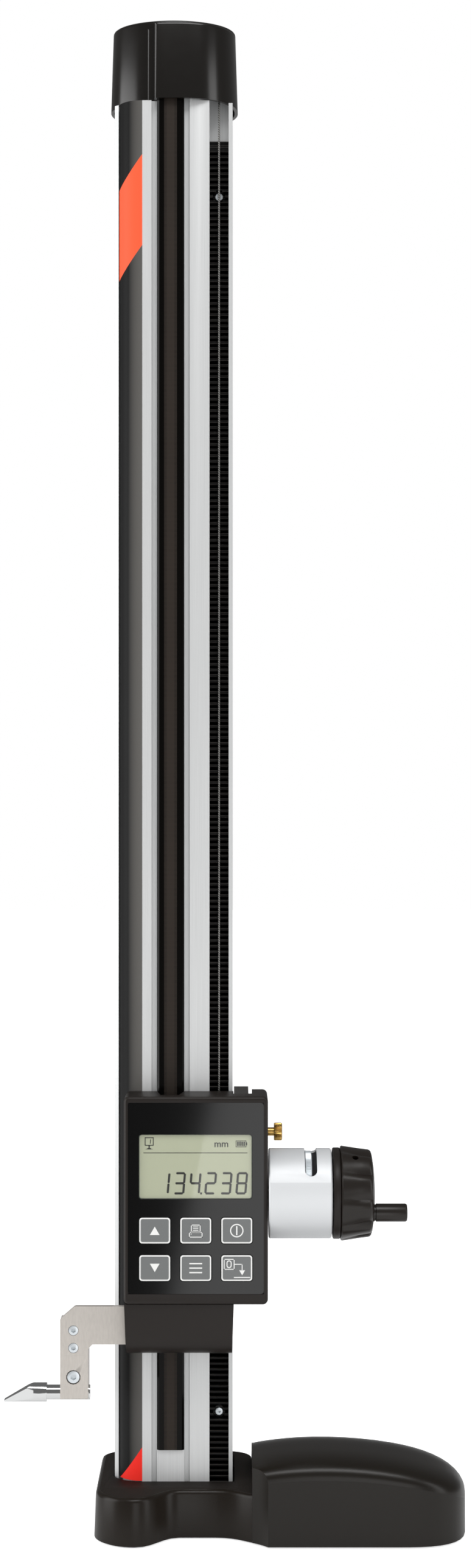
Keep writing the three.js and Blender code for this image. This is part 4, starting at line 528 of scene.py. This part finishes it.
def moulding(name, foot, top, across, front, rear, soft, power=2.0):
    """a drafted oval block with a soft upper edge, whose front half grows flatter with its power"""
    draft, sides = 0.0307, 96
    upper = across - (top - foot) * draft
    profile = [(foot, across), (top - soft, upper)]
    for lean in (22.5, 45, 67.5, 90):
        profile.append((top - soft + soft * math.sin(math.radians(lean)),
                        upper - soft + soft * math.cos(math.radians(lean))))
    piece = drawn(name, "Z", (0, cap_middle, 0), profile, sides)
    choose(piece, "VERT", lambda at: at.y - cap_middle > 0.00001)
    bpy.ops.transform.resize(value=(1, rear / across, 1), center_override=(0, cap_middle, 0))
    for step in range(1, sides // 2):
        turn = step * math.tau / sides
        choose(piece, "VERT", lambda at: at.y - cap_middle < -0.00001 and abs(
            math.atan2(cap_middle - at.y, at.x) - turn) < 0.001)
        push = (1 - abs(math.cos(turn)) ** power) ** (1 / power) / math.sin(turn)
        bpy.ops.transform.resize(value=(1, push * front / across, 1),
                                 center_override=(0, cap_middle, 0))
    close(piece)
    return piece


def rounded(piece, radius, steps, test=lambda at, way: abs(way.y) > 0.9):
    """rounds the edges that pass a test, or else those that run from front to back"""
    choose(piece, "EDGE", test)
    bpy.ops.mesh.bevel(offset=radius, segments=steps, affect="EDGES")
    bpy.ops.object.mode_set(mode="OBJECT")
    return piece


def cap_form(name, wall):
    """the cap's outside, or its inside when a wall is given"""
    crown_front, rib_front, front_drop, rib_drop = 0.0297, 0.0314, 0.0036, 0.0052
    front_left, rib_left, rib_right = -0.0119 + wall, -0.0164 + wall, -0.0105
    foot, across, rear = low.z - wall, high.x - wall, high.y - cap_middle - wall
    beside, before, behind, under, over = 0.05, -0.02, 0.08, 0.8, 1.1
    form = moulding(name, foot, high.z - wall, across, crown_front - wall, rear,
                    0.0020 - wall / 4)
    front = moulding("front_form", foot, high.z - front_drop - wall, across,
                     cap_middle - low.y - wall, rear, 0.0014 - wall / 4, 2.4)
    carve(front, block("side_tool", (-beside, before, under), (front_left, behind, over)))
    rounded(front, 0.0022, 5, lambda at, way: at.x < front_left + 0.0001 and at.y < 0.01
            and abs(way.z) > 0.9)
    close(front)
    carve(front, block("rear_tool", (-beside, cap_middle - 0.002, under), (beside, behind, over)))
    carve(form, front, "UNION")
    rib = moulding("rib_form", foot, high.z - rib_drop - wall, across, rib_front - wall, rear,
                   0.0010 - wall / 4)
    carve(rib, block("room", (rib_left, before, under), (rib_right, -before, over)), "INTERSECT")
    rounded(rib, 0.0011, 4, lambda at, way: at.x < rib_left + 0.0001 and at.y < 0.01
            and abs(way.z) > 0.9)
    close(rib)
    carve(form, rib, "UNION")
    return form


cap_wall = 0.0020
cap = cap_form("cap_moulding_shell", 0.0)
carve(cap, cap_form("inside_tool", cap_wall), solver="MANIFOLD")
smooth(cap, 34)
cap_gloss = finish("cap_gloss", (17, 14, 11), 0.2, grain=160, specular=0.6, spread=0.02)
dress(cap, cap_gloss)
fit(cap, "stand", "cap_moulding", "cap")

# Under the cap a grooved polymer pulley turns on a steel axle in a plated bracket, and an
# iron counterweight hangs in the column's bore on the far end of the cable.
zinc_plate = finish("zinc_plate", (190, 196, 200), 0.35, 1.0)
dress(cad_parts["pulley_frame"], zinc_plate)
dress(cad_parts["pulley_axle"], ground_steel)
pulley = twin("pulley", "pulley_wheel", 30)
dress(pulley, finish("white_polymer", (228, 224, 214), 0.4))
fit(pulley, "pulley", "polymer", "pulley")
dress(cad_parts["counterweight"], finish("cast_iron", (70, 70, 70), 0.6, 0.8, depth=0.0001))

# The cable is a twisted steel wire rope. One stretch drops from the pulley to the carriage and
# one to the counterweight, and each grows or shortens as the carriage moves.
rope_steel = finish("rope_steel", (176, 176, 174), 0.35, 1.0)
nodes, links = rope_steel.node_tree.nodes, rope_steel.node_tree.links
# the strands' lay, painted as pale bands with painted shade in the grooves between them
strand_shade_bands = nodes.new("ShaderNodeTexWave")
strand_shade_bands.bands_direction = "DIAGONAL"
strand_shade_bands.inputs["Scale"].default_value = 420
links.new(nodes["Texture Coordinate"].outputs["Object"], strand_shade_bands.inputs["Vector"])
links.new(mixed(nodes, links, strand_shade_bands.outputs["Color"], (88, 86, 84), (216, 214, 210)),
          nodes["Principled BSDF"].inputs["Base Color"])
rope_radius, rope_steps = 0.00062, 48
for node, body, name in (("cable_front", "carriage", "rope_front"),
                         ("cable_rear", "counterweight", "rope_rear")):
    low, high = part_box(node)
    x, y = (low.x + high.x) / 2, (low.y + high.y) / 2
    heights = [low.z + (high.z - low.z) * step / rope_steps for step in range(rope_steps + 1)]
    rope = drawn(name, "Z", (x, y, 0), [(height, rope_radius) for height in heights], 12)
    smooth(rope, 40)
    dress(rope, rope_steel)
    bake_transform(rope)
    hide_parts(node)
over = twin("cable_over_pulley", "rope_over_pulley", 50)
dress(over, rope_steel)
fit(over, "stand", "zinc_steel", "cable_over_pulley")

# The carriage's frame is a painted cast plate with a wing round the column's right side.
# Bronze shoes slide in the grooves, two rollers bear on the side, and a reader faces the scale.
bronze = finish("bronze", (176, 140, 82), 0.35, 1.0)
dress(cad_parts["carriage_frame"], base_paint)
for node in ("guide_shoe_lower", "guide_shoe_upper"):
    dress(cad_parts[node], bronze)
for end in ("lower", "upper"):
    dress(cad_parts["roller_pin_" + end], ground_steel)
    roller = twin("guide_roller_" + end, "roller_" + end + "_ring", 40)
    dress(roller, ground_steel)
    fit(roller, "roller_" + end, "ground_steel", "guide_roller_" + end)
dress(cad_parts["reading_head"], strip_black)
dress(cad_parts["cable_anchor"], zinc_plate)

# The display housing is a satin moulded shell, open at the back, with rounded front edges, a
# deeper right side that wraps the frame, and a notch over the scale in its top wall.
def opening(name, box, gap, front, rear):
    """a block over a solid's box with a gap at its four sides, from a front to a rear depth"""
    low, high = box
    return block(name, (low.x - gap, front, low.z - gap), (high.x + gap, rear, high.z + gap))


low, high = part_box("display_housing")
plate_box, glass_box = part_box("display_panel"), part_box("display_window")
key_boxes = [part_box(f"key_{number}") for number in range(1, 7)]
side_wall, end_wall, over_top = 0.0027, 0.0024, high.z + 0.002
housing = rounded(block("housing_shell", low, high), 0.0032, 6)
rounded(housing, 0.0021, 5, lambda at, way: at.y < low.y + 0.0001 and abs(way.y) < 0.1)
rounded(housing, 0.0050, 6, lambda at, way: at.y > high.y - 0.0001 and at.x > high.x - 0.0001)
close(housing)
carve(housing, block("room_tool", (low.x + side_wall, low.y + side_wall, low.z + end_wall),
                     (high.x - side_wall, 0.0063, high.z - end_wall)))
carve(housing, block("back_tool", (low.x - 0.002, -0.0006, low.z - 0.002),
                     (0.0490, 0.0120, over_top)))
notch_half, notch_front, notch_share = 0.0092, -0.019, 0.62
notch = block("notch_tool", (band_middle - notch_half, notch_front, high.z - 0.004),
              (band_middle + notch_half, 0.002, over_top))
choose(notch, "FACE", lambda at, out: out.y < -0.9)
bpy.ops.transform.resize(value=(notch_share, 1, 1),
                         center_override=(band_middle, notch_front, high.z))
close(notch)
carve(housing, notch)
carve(housing, block("wing_tool", (0.0383, -0.0123, high.z - 0.004), (0.0500, 0.0095, over_top)))
carve(housing, opening("plate_tool", plate_box, 0.0001, low.y - 0.002,
                       plate_box[1].y + 0.00002))
carve(housing, opening("glass_tool", glass_box, 0.0001, low.y, low.y + 0.004))
for key_box in key_boxes:
    carve(housing, opening("key_tool", key_box, 0.0003, low.y, low.y + 0.004))
carve(housing, start("cylinder", "boss_tool", vertices=64, radius=0.0113, depth=0.010,
                     location=(high.x, axis_y, axis_z), rotation=(0, math.pi / 2, 0)))
smooth(housing, 30)
housing_satin = finish("housing_satin", (32, 27, 24), 0.42, grain=2600, depth=0.00002, specular=0.28)
dress(housing, housing_satin)
fit(housing, "carriage", "housing_moulding", "display_housing")

# Its face is a smooth black film plate, sunk a little into the shell, with rounded corners and
# openings for the display and the six keys.
plate = rounded(block("face_plate", *plate_box), 0.0020, 5)
plate_front, plate_rear = plate_box[0].y - 0.002, plate_box[1].y + 0.002
window_tool = opening("window_tool", glass_box, 0.0001, plate_front, plate_rear)
carve(plate, rounded(window_tool, 0.0016, 4))
for key_box in key_boxes:
    key_tool = opening("key_tool", key_box, 0.0002, plate_front, plate_rear)
    carve(plate, rounded(key_tool, 0.0025, 6))
smooth(plate, 30)
film_black = finish("film_black", (3, 3, 3), 0.09, specular=0.42, spread=0.01)
dress(plate, film_black)
fit(plate, "carriage", "panel_film", "display_panel")

# The display is a grey-green liquid crystal cell behind a clear window. Its dark segments
# show a reading, a unit, a battery and the stand's own sign over a dividing line.
window = rounded(block("window_pane", *glass_box), 0.0016, 4)
clear = bpy.data.materials.new("clear_window")
clear.use_nodes = True
clear_shader = clear.node_tree.nodes["Principled BSDF"]
clear_shader.inputs["Base Color"].default_value = (0.9, 0.92, 0.88, 1)
clear_shader.inputs["Roughness"].default_value = 0.02
clear_shader.inputs["Alpha"].default_value = 0.04
dress(window, clear)
fit(window, "carriage", "display_window", "display_window")


def coated(name, colour, roughness, grain=900.0):
    """a matt colour under the glossy front of the cell"""
    surface = finish(name, colour, roughness, specular=0.1, grain=grain)
    shader = surface.node_tree.nodes["Principled BSDF"]
    shader.inputs["Coat Weight"].default_value = 1
    shader.inputs["Coat Roughness"].default_value = 0.02
    return surface


dress(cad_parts["lcd_module"], coated("cell_grey", (169, 173, 146), 0.5, 60))
dress(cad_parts["circuit_board"], finish("board_green", (36, 87, 58), 0.5))


def join(name, parts):
    """joins several pieces into one"""
    bpy.ops.object.select_all(action="DESELECT")
    for part in parts:
        part.select_set(True)
    bpy.context.view_layer.objects.active = parts[0]
    bpy.ops.object.join()
    parts[0].name = name
    return parts[0]


def stroke(x, y, z, length, width, turn=0.0):
    """a flat pointed bar in the plane that faces the front, upright unless it is turned"""
    bar = start("cylinder", "stroke", vertices=6, radius=width / 2, depth=0.00006,
                rotation=(math.pi / 2, 0, 0))
    for side in (1, -1):
        choose(bar, "VERT", lambda at: at.z * side > width * 0.1)
        bpy.ops.transform.translate(value=(0, 0, side * (length - width) / 2))
    bpy.ops.object.mode_set(mode="OBJECT")
    bar.location = (x, y, z)
    bar.rotation_euler = (0, math.radians(turn), 0)
    only(bar)
    bpy.ops.object.transform_apply(location=True, rotation=True, scale=True)
    return bar


def mark(left, low, right, high, y, thickness=0.00003):
    """a flat raised rectangle that faces the front"""
    return block("mark", (left, y - thickness, low), (right, y + thickness, high))


def letters(text, x, y, z, size):
    """printed letters that face the front, from their lower left corner"""
    bpy.ops.object.select_all(action="DESELECT")
    bpy.ops.object.text_add()
    written = bpy.context.object
    written.data.body = text
    written.data.offset = size * 0.012
    written.data.size = size
    written.data.extrude = 0.00003
    bpy.ops.object.convert(target="MESH")
    written = bpy.context.object
    written.location = (x, y, z)
    written.rotation_euler = (math.pi / 2, 0, 0)
    only(written)
    bpy.ops.object.transform_apply(location=True, rotation=True, scale=True)
    return written


ink, glass_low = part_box("lcd_module")[0].y - 0.00004, glass_box[0]
lit = {"1": "bc", "2": "abged", "3": "abgcd", "4": "fgbc", "8": "abcdefg"}
bars = {"a": (0, 1), "g": (0, 0), "d": (0, -1), "f": (-1, 0.5), "b": (1, 0.5), "e": (-1, -0.5),
        "c": (1, -0.5)}
shown, reading = [], "134238"
digit_wide, digit_high, digit_stroke, lean = 0.0056, 0.0126, 0.00155, 5.0
last_digit, digit_pitch, digit_middle = glass_low.x + 0.0642, 0.0097, glass_low.z + 0.0097
for place, digit in enumerate(reading, 1):
    middle = last_digit - (len(reading) - place) * digit_pitch
    for name in lit[digit]:
        across, up = bars[name]
        x = middle + across * digit_wide / 2 + up * digit_high / 2 * math.tan(math.radians(lean))
        z = digit_middle + up * digit_high / 2
        if across:
            shown.append(stroke(x, ink, z, digit_high / 2 - 0.0001, digit_stroke, lean))
        else:
            shown.append(stroke(x, ink, z, digit_wide - 0.0001, digit_stroke, 90))
point_x, point_z = glass_low.x + 0.0388, glass_low.z + 0.0034
shown.append(mark(point_x - 0.0006, point_z - 0.0006, point_x + 0.0006, point_z + 0.0006, ink))
rule = glass_low.z + 0.0287
shown.append(mark(glass_low.x + 0.0028, rule - 0.0002, glass_low.x + 0.0677, rule + 0.0002, ink))


def outline(left, low, right, high, line, y):
    """the four sides of a flat frame that faces the front"""
    return [mark(left, low, right, low + line, y), mark(left, high - line, right, high, y),
            mark(left, low, left + line, high, y), mark(right - line, low, right, high, y)]


sign = glass_low.x + 0.0036
shown += outline(sign, rule + 0.0045, sign + 0.0056, rule + 0.0097, 0.0005, ink)
shown.append(stroke(sign + 0.0036, ink, rule + 0.0071, 0.0028, 0.0005, lean))
shown.append(mark(sign + 0.0024, rule + 0.0026, sign + 0.0032, rule + 0.0045, ink))
shown.append(mark(sign + 0.0016, rule + 0.0023, sign + 0.0040, rule + 0.0029, ink))
shown.append(mark(sign + 0.0006, rule + 0.0022, sign + 0.0050, rule + 0.0024, ink))
shown.append(letters("mm", glass_low.x + 0.0469, ink, rule + 0.0037, 0.0059))
cell = glass_low.x + 0.0605
shown += outline(cell, rule + 0.0036, cell + 0.0065, rule + 0.0077, 0.00035, ink)
shown.append(mark(cell + 0.0065, rule + 0.0047, cell + 0.0071, rule + 0.0066, ink))
for number in range(4):
    left = cell + 0.00085 + number * 0.0013
    shown.append(mark(left, rule + 0.0043, left + 0.00095, rule + 0.0070, ink))
segments = join("display_segments", shown)
dress(segments, coated("segment_ink", (12, 13, 10), 0.6))
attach(segments, "carriage")

# Six film keys stand a little over the face. Each has a grey field with a white line round it
# and a plain line sign: up, print, switch, down, menu, and zero with an arrow to its line.
key_grey = finish("key_grey", (112, 114, 114), 0.42, specular=0.3)
print_white = finish("print_white", (232, 232, 230), 0.5)
key_black = finish("key_black", (30, 30, 31), 0.35)


def triangle(x, y, z, radius, turn):
    """a flat triangle that faces the front"""
    return start("cylinder", "triangle", vertices=3, radius=radius, depth=0.00006,
                 location=(x, y, z), rotation=(math.pi / 2, math.radians(turn), 0))


def ring(x, y, z, radius, width):
    """a flat ring that faces the front"""
    piece = start("cylinder", "ring", vertices=40, radius=radius, depth=0.00006,
                  location=(x, y, z), rotation=(math.pi / 2, 0, 0))
    carve(piece, start("cylinder", "ring_tool", vertices=40, radius=radius - width, depth=0.001,
                       location=(x, y, z), rotation=(math.pi / 2, 0, 0)))
    return piece


for number, (key_low, key_high) in enumerate(key_boxes, 1):
    film_y = key_low.y + 0.00005
    key = block(f"key_{number}_film", (key_low.x, film_y, key_low.z), key_high)
    rounded(key, 0.0024, 6)
    rounded(key, 0.0003, 3, lambda at, way: at.y < film_y + 0.00005 and abs(way.y) < 0.1)
    dress(key, key_black, key_grey, print_white)
    choose(key, "FACE", lambda at, out: out.y < -0.99)
    bpy.ops.mesh.inset(thickness=0.0001)
    bpy.ops.mesh.inset(thickness=0.0008)
    key.active_material_index = 1
    bpy.ops.object.material_slot_assign()
    # of the flat faces, the narrow ones clear of the film's rim are the white line
    x, z = (key_low.x + key_high.x) / 2, (key_low.z + key_high.z) / 2
    half_wide, half_high = key_high.x - x - 0.00035, key_high.z - z - 0.00035
    mesh = bmesh.from_edit_mesh(key.data)
    for face in mesh.faces:
        clear_of_rim = all(abs(corner.co.x - x) < half_wide and abs(corner.co.z - z) < half_high
                           for corner in face.verts)
        narrow = face.calc_area() < 0.0001
        face.select_set(face.normal.y < -0.99 and clear_of_rim and narrow)
    bmesh.update_edit_mesh(key.data)
    key.active_material_index = 2
    bpy.ops.object.material_slot_assign()
    close(key)
    y = key_low.y + 0.00003
    if number == 1:
        signs = [triangle(x, y, z - 0.0010, 0.0035, 0)]
    elif number == 2:
        signs = outline(x - 0.0042, z - 0.0043, x + 0.0042, z - 0.0008, 0.0005, y)
        signs += outline(x - 0.0030, z - 0.0011, x + 0.0030, z + 0.0037, 0.0005, y)
        signs += [mark(x - 0.0017, z + step, x + 0.0016, z + step + 0.0004, y)
                  for step in (-0.0001, 0.0010, 0.0021)]
        signs.append(mark(x - 0.0031, z - 0.0024, x - 0.0026, z - 0.0019, y))
    elif number == 3:
        signs = [ring(x, y, z, 0.0042, 0.0007),
                 mark(x - 0.0004, z - 0.0028, x + 0.0004, z + 0.0028, y)]
    elif number == 4:
        signs = [triangle(x, y, z + 0.0010, 0.0035, 180)]
    elif number == 5:
        signs = [mark(x - 0.0040, z + step - 0.0004, x + 0.0040, z + step + 0.0004, y)
                 for step in (-0.0028, 0, 0.0028)]
    else:
        signs = outline(x - 0.0081, z - 0.0010, x - 0.0014, z + 0.0057, 0.0005, y)
        zero = ring(x - 0.0048, y, z + 0.0024, 0.0016, 0.0006)
        choose(zero, "VERT", lambda at: at.z > z + 0.0024)
        bpy.ops.transform.translate(value=(0, 0, 0.0008))
        choose(zero, "VERT", lambda at: at.z < z + 0.0024)
        bpy.ops.transform.translate(value=(0, 0, -0.0008))
        bpy.ops.object.mode_set(mode="OBJECT")
        signs += [zero, mark(x - 0.0014, z + 0.0021, x + 0.0035, z + 0.0026, y),
                  mark(x + 0.0031, z - 0.0012, x + 0.0036, z + 0.0026, y),
                  triangle(x + 0.00335, y, z - 0.0024, 0.0021, 180),
                  mark(x - 0.0018, z - 0.0061, x + 0.0084, z - 0.0055, y)]
    sign = join("signs", signs)
    dress(sign, print_white)
    key = join(f"key_{number}_film", [key, sign])
    fit(key, f"key_{number}", "key_grey", f"key_{number}")

# A plain satin cover closes the carriage's front below the display. Its lower edge turns back
# in a wide round, and its back is open.
cover = twin("lower_cover", "lower_shell", 40)
dress(cover, housing_satin)
fit(cover, "carriage", "housing_moulding", "lower_cover")

# A knurled brass screw at the right clamps the carriage to its slide.
def step_round(at, y, z, steps):
    """which of a number of even steps round an axis along X is nearest to a corner"""
    return round(math.atan2(at.z - z, at.y - y) / (math.tau / steps))


low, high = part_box("lock_screw")
head_left, head_round = 0.0642, (high.z - low.z) / 2
lock_y, lock_z, knurl_steps = 0.0120, (low.z + high.z) / 2, 72
brass = finish("brass", (205, 166, 96), 0.28, 1.0)
head = drawn("lock_screw_head", "X", (0, lock_y, lock_z), [
    (head_left, 0.0044), (head_left, head_round - 0.0004), (head_left + 0.0004, head_round),
    (high.x - 0.0005, head_round), (high.x, head_round - 0.0006), (high.x, 0.0018),
    (high.x - 0.0010, 0.0016)], knurl_steps)
choose(head, "VERT", lambda at: head_left + 0.0002 < at.x < high.x - 0.0003
       and step_round(at, lock_y, lock_z, knurl_steps) % 2 == 0)
bpy.ops.transform.resize(value=(1, 0.93, 0.93), center_override=(head_left, lock_y, lock_z))
close(head)
stem = drawn("lock_stem", "X", (0, lock_y, lock_z),
             [(low.x, 0.0027), (head_left + 0.0002, 0.0027)], 32)
lock = join("lock_screw_turned", [head, stem])
smooth(lock, 30)
dress(lock, brass)
fit(lock, "lock_screw", "brass", "lock_screw")

# The measuring arm is a flat plate with a leg at its left end, satin nickel over steel. Two
# socket screws fix it, and a third clamps the probe's pin in the block under the leg.
nickel = drawn_metal("satin_nickel", (205, 199, 192), 0.36, 900, 240)
arm = twin("arm_plate", "measuring_arm", 30)
dress(arm, nickel)
fit(arm, "carriage", "satin_nickel", "arm_plate")
clamp_block = twin("probe_block", "clamp_block", 30)
dress(clamp_block, nickel)
fit(clamp_block, "carriage", "satin_nickel", "probe_block")
probe = twin("probe", "probe_tip", 30)
chrome = finish("chrome", (225, 226, 226), 0.07, 1.0, spread=0.02)
dress(probe, chrome)
fit(probe, "carriage", "ground_steel", "probe")
for node in ("arm_screw_upper", "arm_screw_lower", "clamp_screw"):
    low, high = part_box(node)
    screw = cap_screw(node + "_head", (low.x + high.x) / 2, low.y, (low.z + high.z) / 2,
                      (high.x - low.x) / 2, min(high.y - low.y, 0.0035), (high.x - low.x) / 4)
    fit(screw, "carriage", "zinc_steel", node)

# The fine adjustment is a satin sleeve round the drive shaft, with a slot in front that shows
# the knurled steel wheel inside.
satin_silver = finish("satin_silver", (222, 224, 226), 0.5, 0.3)
sleeve = twin("fine_adjust_sleeve", "adjuster_sleeve", 40)
dress(sleeve, satin_silver)
fit(sleeve, "carriage", "aluminium", "fine_adjust_sleeve")
dress(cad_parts["shaft_bush"], bronze)
dress(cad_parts["drive_shaft"], ground_steel)
low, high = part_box("fine_wheel")
wheel_round, wheel_hole, wheel_edge, wheel_steps = (high.z - low.z) / 2, 0.0094, 0.0004, 288
wheel = drawn("knurled_wheel", "X", (0, axis_y, axis_z), [
    (low.x, wheel_hole), (low.x, wheel_round - wheel_edge), (low.x + wheel_edge, wheel_round),
    (high.x - wheel_edge, wheel_round), (high.x, wheel_round - wheel_edge),
    (high.x, wheel_hole)], wheel_steps)
choose(wheel, "VERT", lambda at: math.hypot(at.y - axis_y, at.z - axis_z) > wheel_round * 0.9
       and step_round(at, axis_y, axis_z, wheel_steps) % 2 == 0)
bpy.ops.transform.resize(value=(1, 0.985, 0.985), center_override=(low.x, axis_y, axis_z))
close(wheel)
dress(wheel, bright_zinc)
fit(wheel, "drive_knob", "zinc_steel", "fine_wheel")

# The hand knob is a tapered satin barrel with ten ramp-shaped flutes and a domed end, on a
# thin flange. A set screw sits in a hole at its upper front.
low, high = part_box("knob_flange")
flange_round = (high.z - low.z) / 2
flange = drawn("flange_ring", "X", (0, axis_y, axis_z), [
    (low.x, 0.0120), (low.x, flange_round - 0.0009), (low.x + 0.0002, flange_round - 0.0003),
    (low.x + 0.0008, flange_round), (high.x - 0.0009, flange_round),
    (high.x - 0.0003, flange_round - 0.0004), (high.x, flange_round - 0.0012),
    (high.x, 0.0120)], 96)
smooth(flange, 40)
dress(flange, housing_satin)
fit(flange, "drive_knob", "housing_moulding", "knob_flange")
low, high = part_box("knob")
flutes, flute_steps, flute_rise, flute_depth, flute_radius = 10, 12, 0.3, 0.0030, 0.0285
knob = drawn("knob_barrel", "X", (0, axis_y, axis_z), [
    (low.x, 0.0150), (low.x, 0.0289), (low.x + 0.0003, 0.0294), (low.x + 0.0009, 0.0297),
    (low.x + 0.0060, 0.0290), (low.x + 0.0120, 0.0281), (low.x + 0.0177, 0.0274),
    (low.x + 0.0187, 0.0270), (low.x + 0.0194, 0.0262), (low.x + 0.0199, 0.0248),
    (low.x + 0.0208, 0.0190), (low.x + 0.0214, 0.0120), (high.x, 0.0050)],
    flutes * flute_steps)
for step in range(flute_steps):
    share = step / flute_steps
    ramp = share / flute_rise if share < flute_rise else (1 - share) / (1 - flute_rise)
    for from_end, part in ((0.0, 0.15), (0.0003, 0.18), (0.0009, 0.2), (0.0060, 0.45),
                           (0.0120, 0.75), (0.0177, 1.0), (0.0187, 0.95), (0.0194, 0.8),
                           (0.0199, 0.5)):
        choose(knob, "VERT", lambda at: abs(at.x - low.x - from_end) < 0.0001
               and math.hypot(at.y - axis_y, at.z - axis_z) > 0.0200
               and step_round(at, axis_y, axis_z, flutes * flute_steps) % flute_steps == step)
        narrower = 1 - flute_depth * part * (1 - ramp) ** 2 / flute_radius
        bpy.ops.transform.resize(value=(1, narrower, narrower),
                                 center_override=(low.x, axis_y, axis_z))
close(knob)
hole_x, hole_turn = 0.1149, 30
hole = start("cylinder", "hole_tool", vertices=32, radius=0.0020, depth=0.0400,
             location=(hole_x, 0, 0.0240))
hole.rotation_euler = (math.radians(hole_turn), 0, 0)
hole.location = (0, axis_y, axis_z)
only(hole)
bpy.ops.object.transform_apply(location=True, rotation=True, scale=True)
carve(knob, hole)
smooth(knob, 32)
knob_satin = finish("knob_satin", (30, 25, 21), 0.32, grain=2600, depth=0.00002, specular=0.4)
dress(knob, knob_satin)
fit(knob, "drive_knob", "housing_moulding", "knob")
dress(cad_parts["knob_set_screw"], black_steel)
dress(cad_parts["crank_axle"], ground_steel)

# The crank handle spins on its axle in the knob's face: a slim barrel with a groove at its
# foot and a soft rounded end.
low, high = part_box("crank_handle")
crank_y, crank_z, crank_round = (low.y + high.y) / 2, (low.z + high.z) / 2, (high.z - low.z) / 2
crank = drawn("crank_barrel", "X", (0, crank_y, crank_z), [
    (low.x, 0.0034), (low.x, crank_round - 0.0005), (low.x + 0.0004, crank_round),
    (low.x + 0.0012, crank_round), (low.x + 0.0014, crank_round - 0.0006),
    (low.x + 0.0020, crank_round - 0.0006), (low.x + 0.0023, crank_round),
    (high.x - 0.0012, crank_round), (high.x - 0.0005, crank_round - 0.0003),
    (high.x - 0.0001, crank_round - 0.0008), (high.x, crank_round - 0.0014),
    (high.x, 0.0041), (high.x - 0.0004, 0.0038)], 64)
smooth(crank, 32)
dress(crank, knob_satin)
fit(crank, "crank_handle", "housing_moulding", "crank_handle")
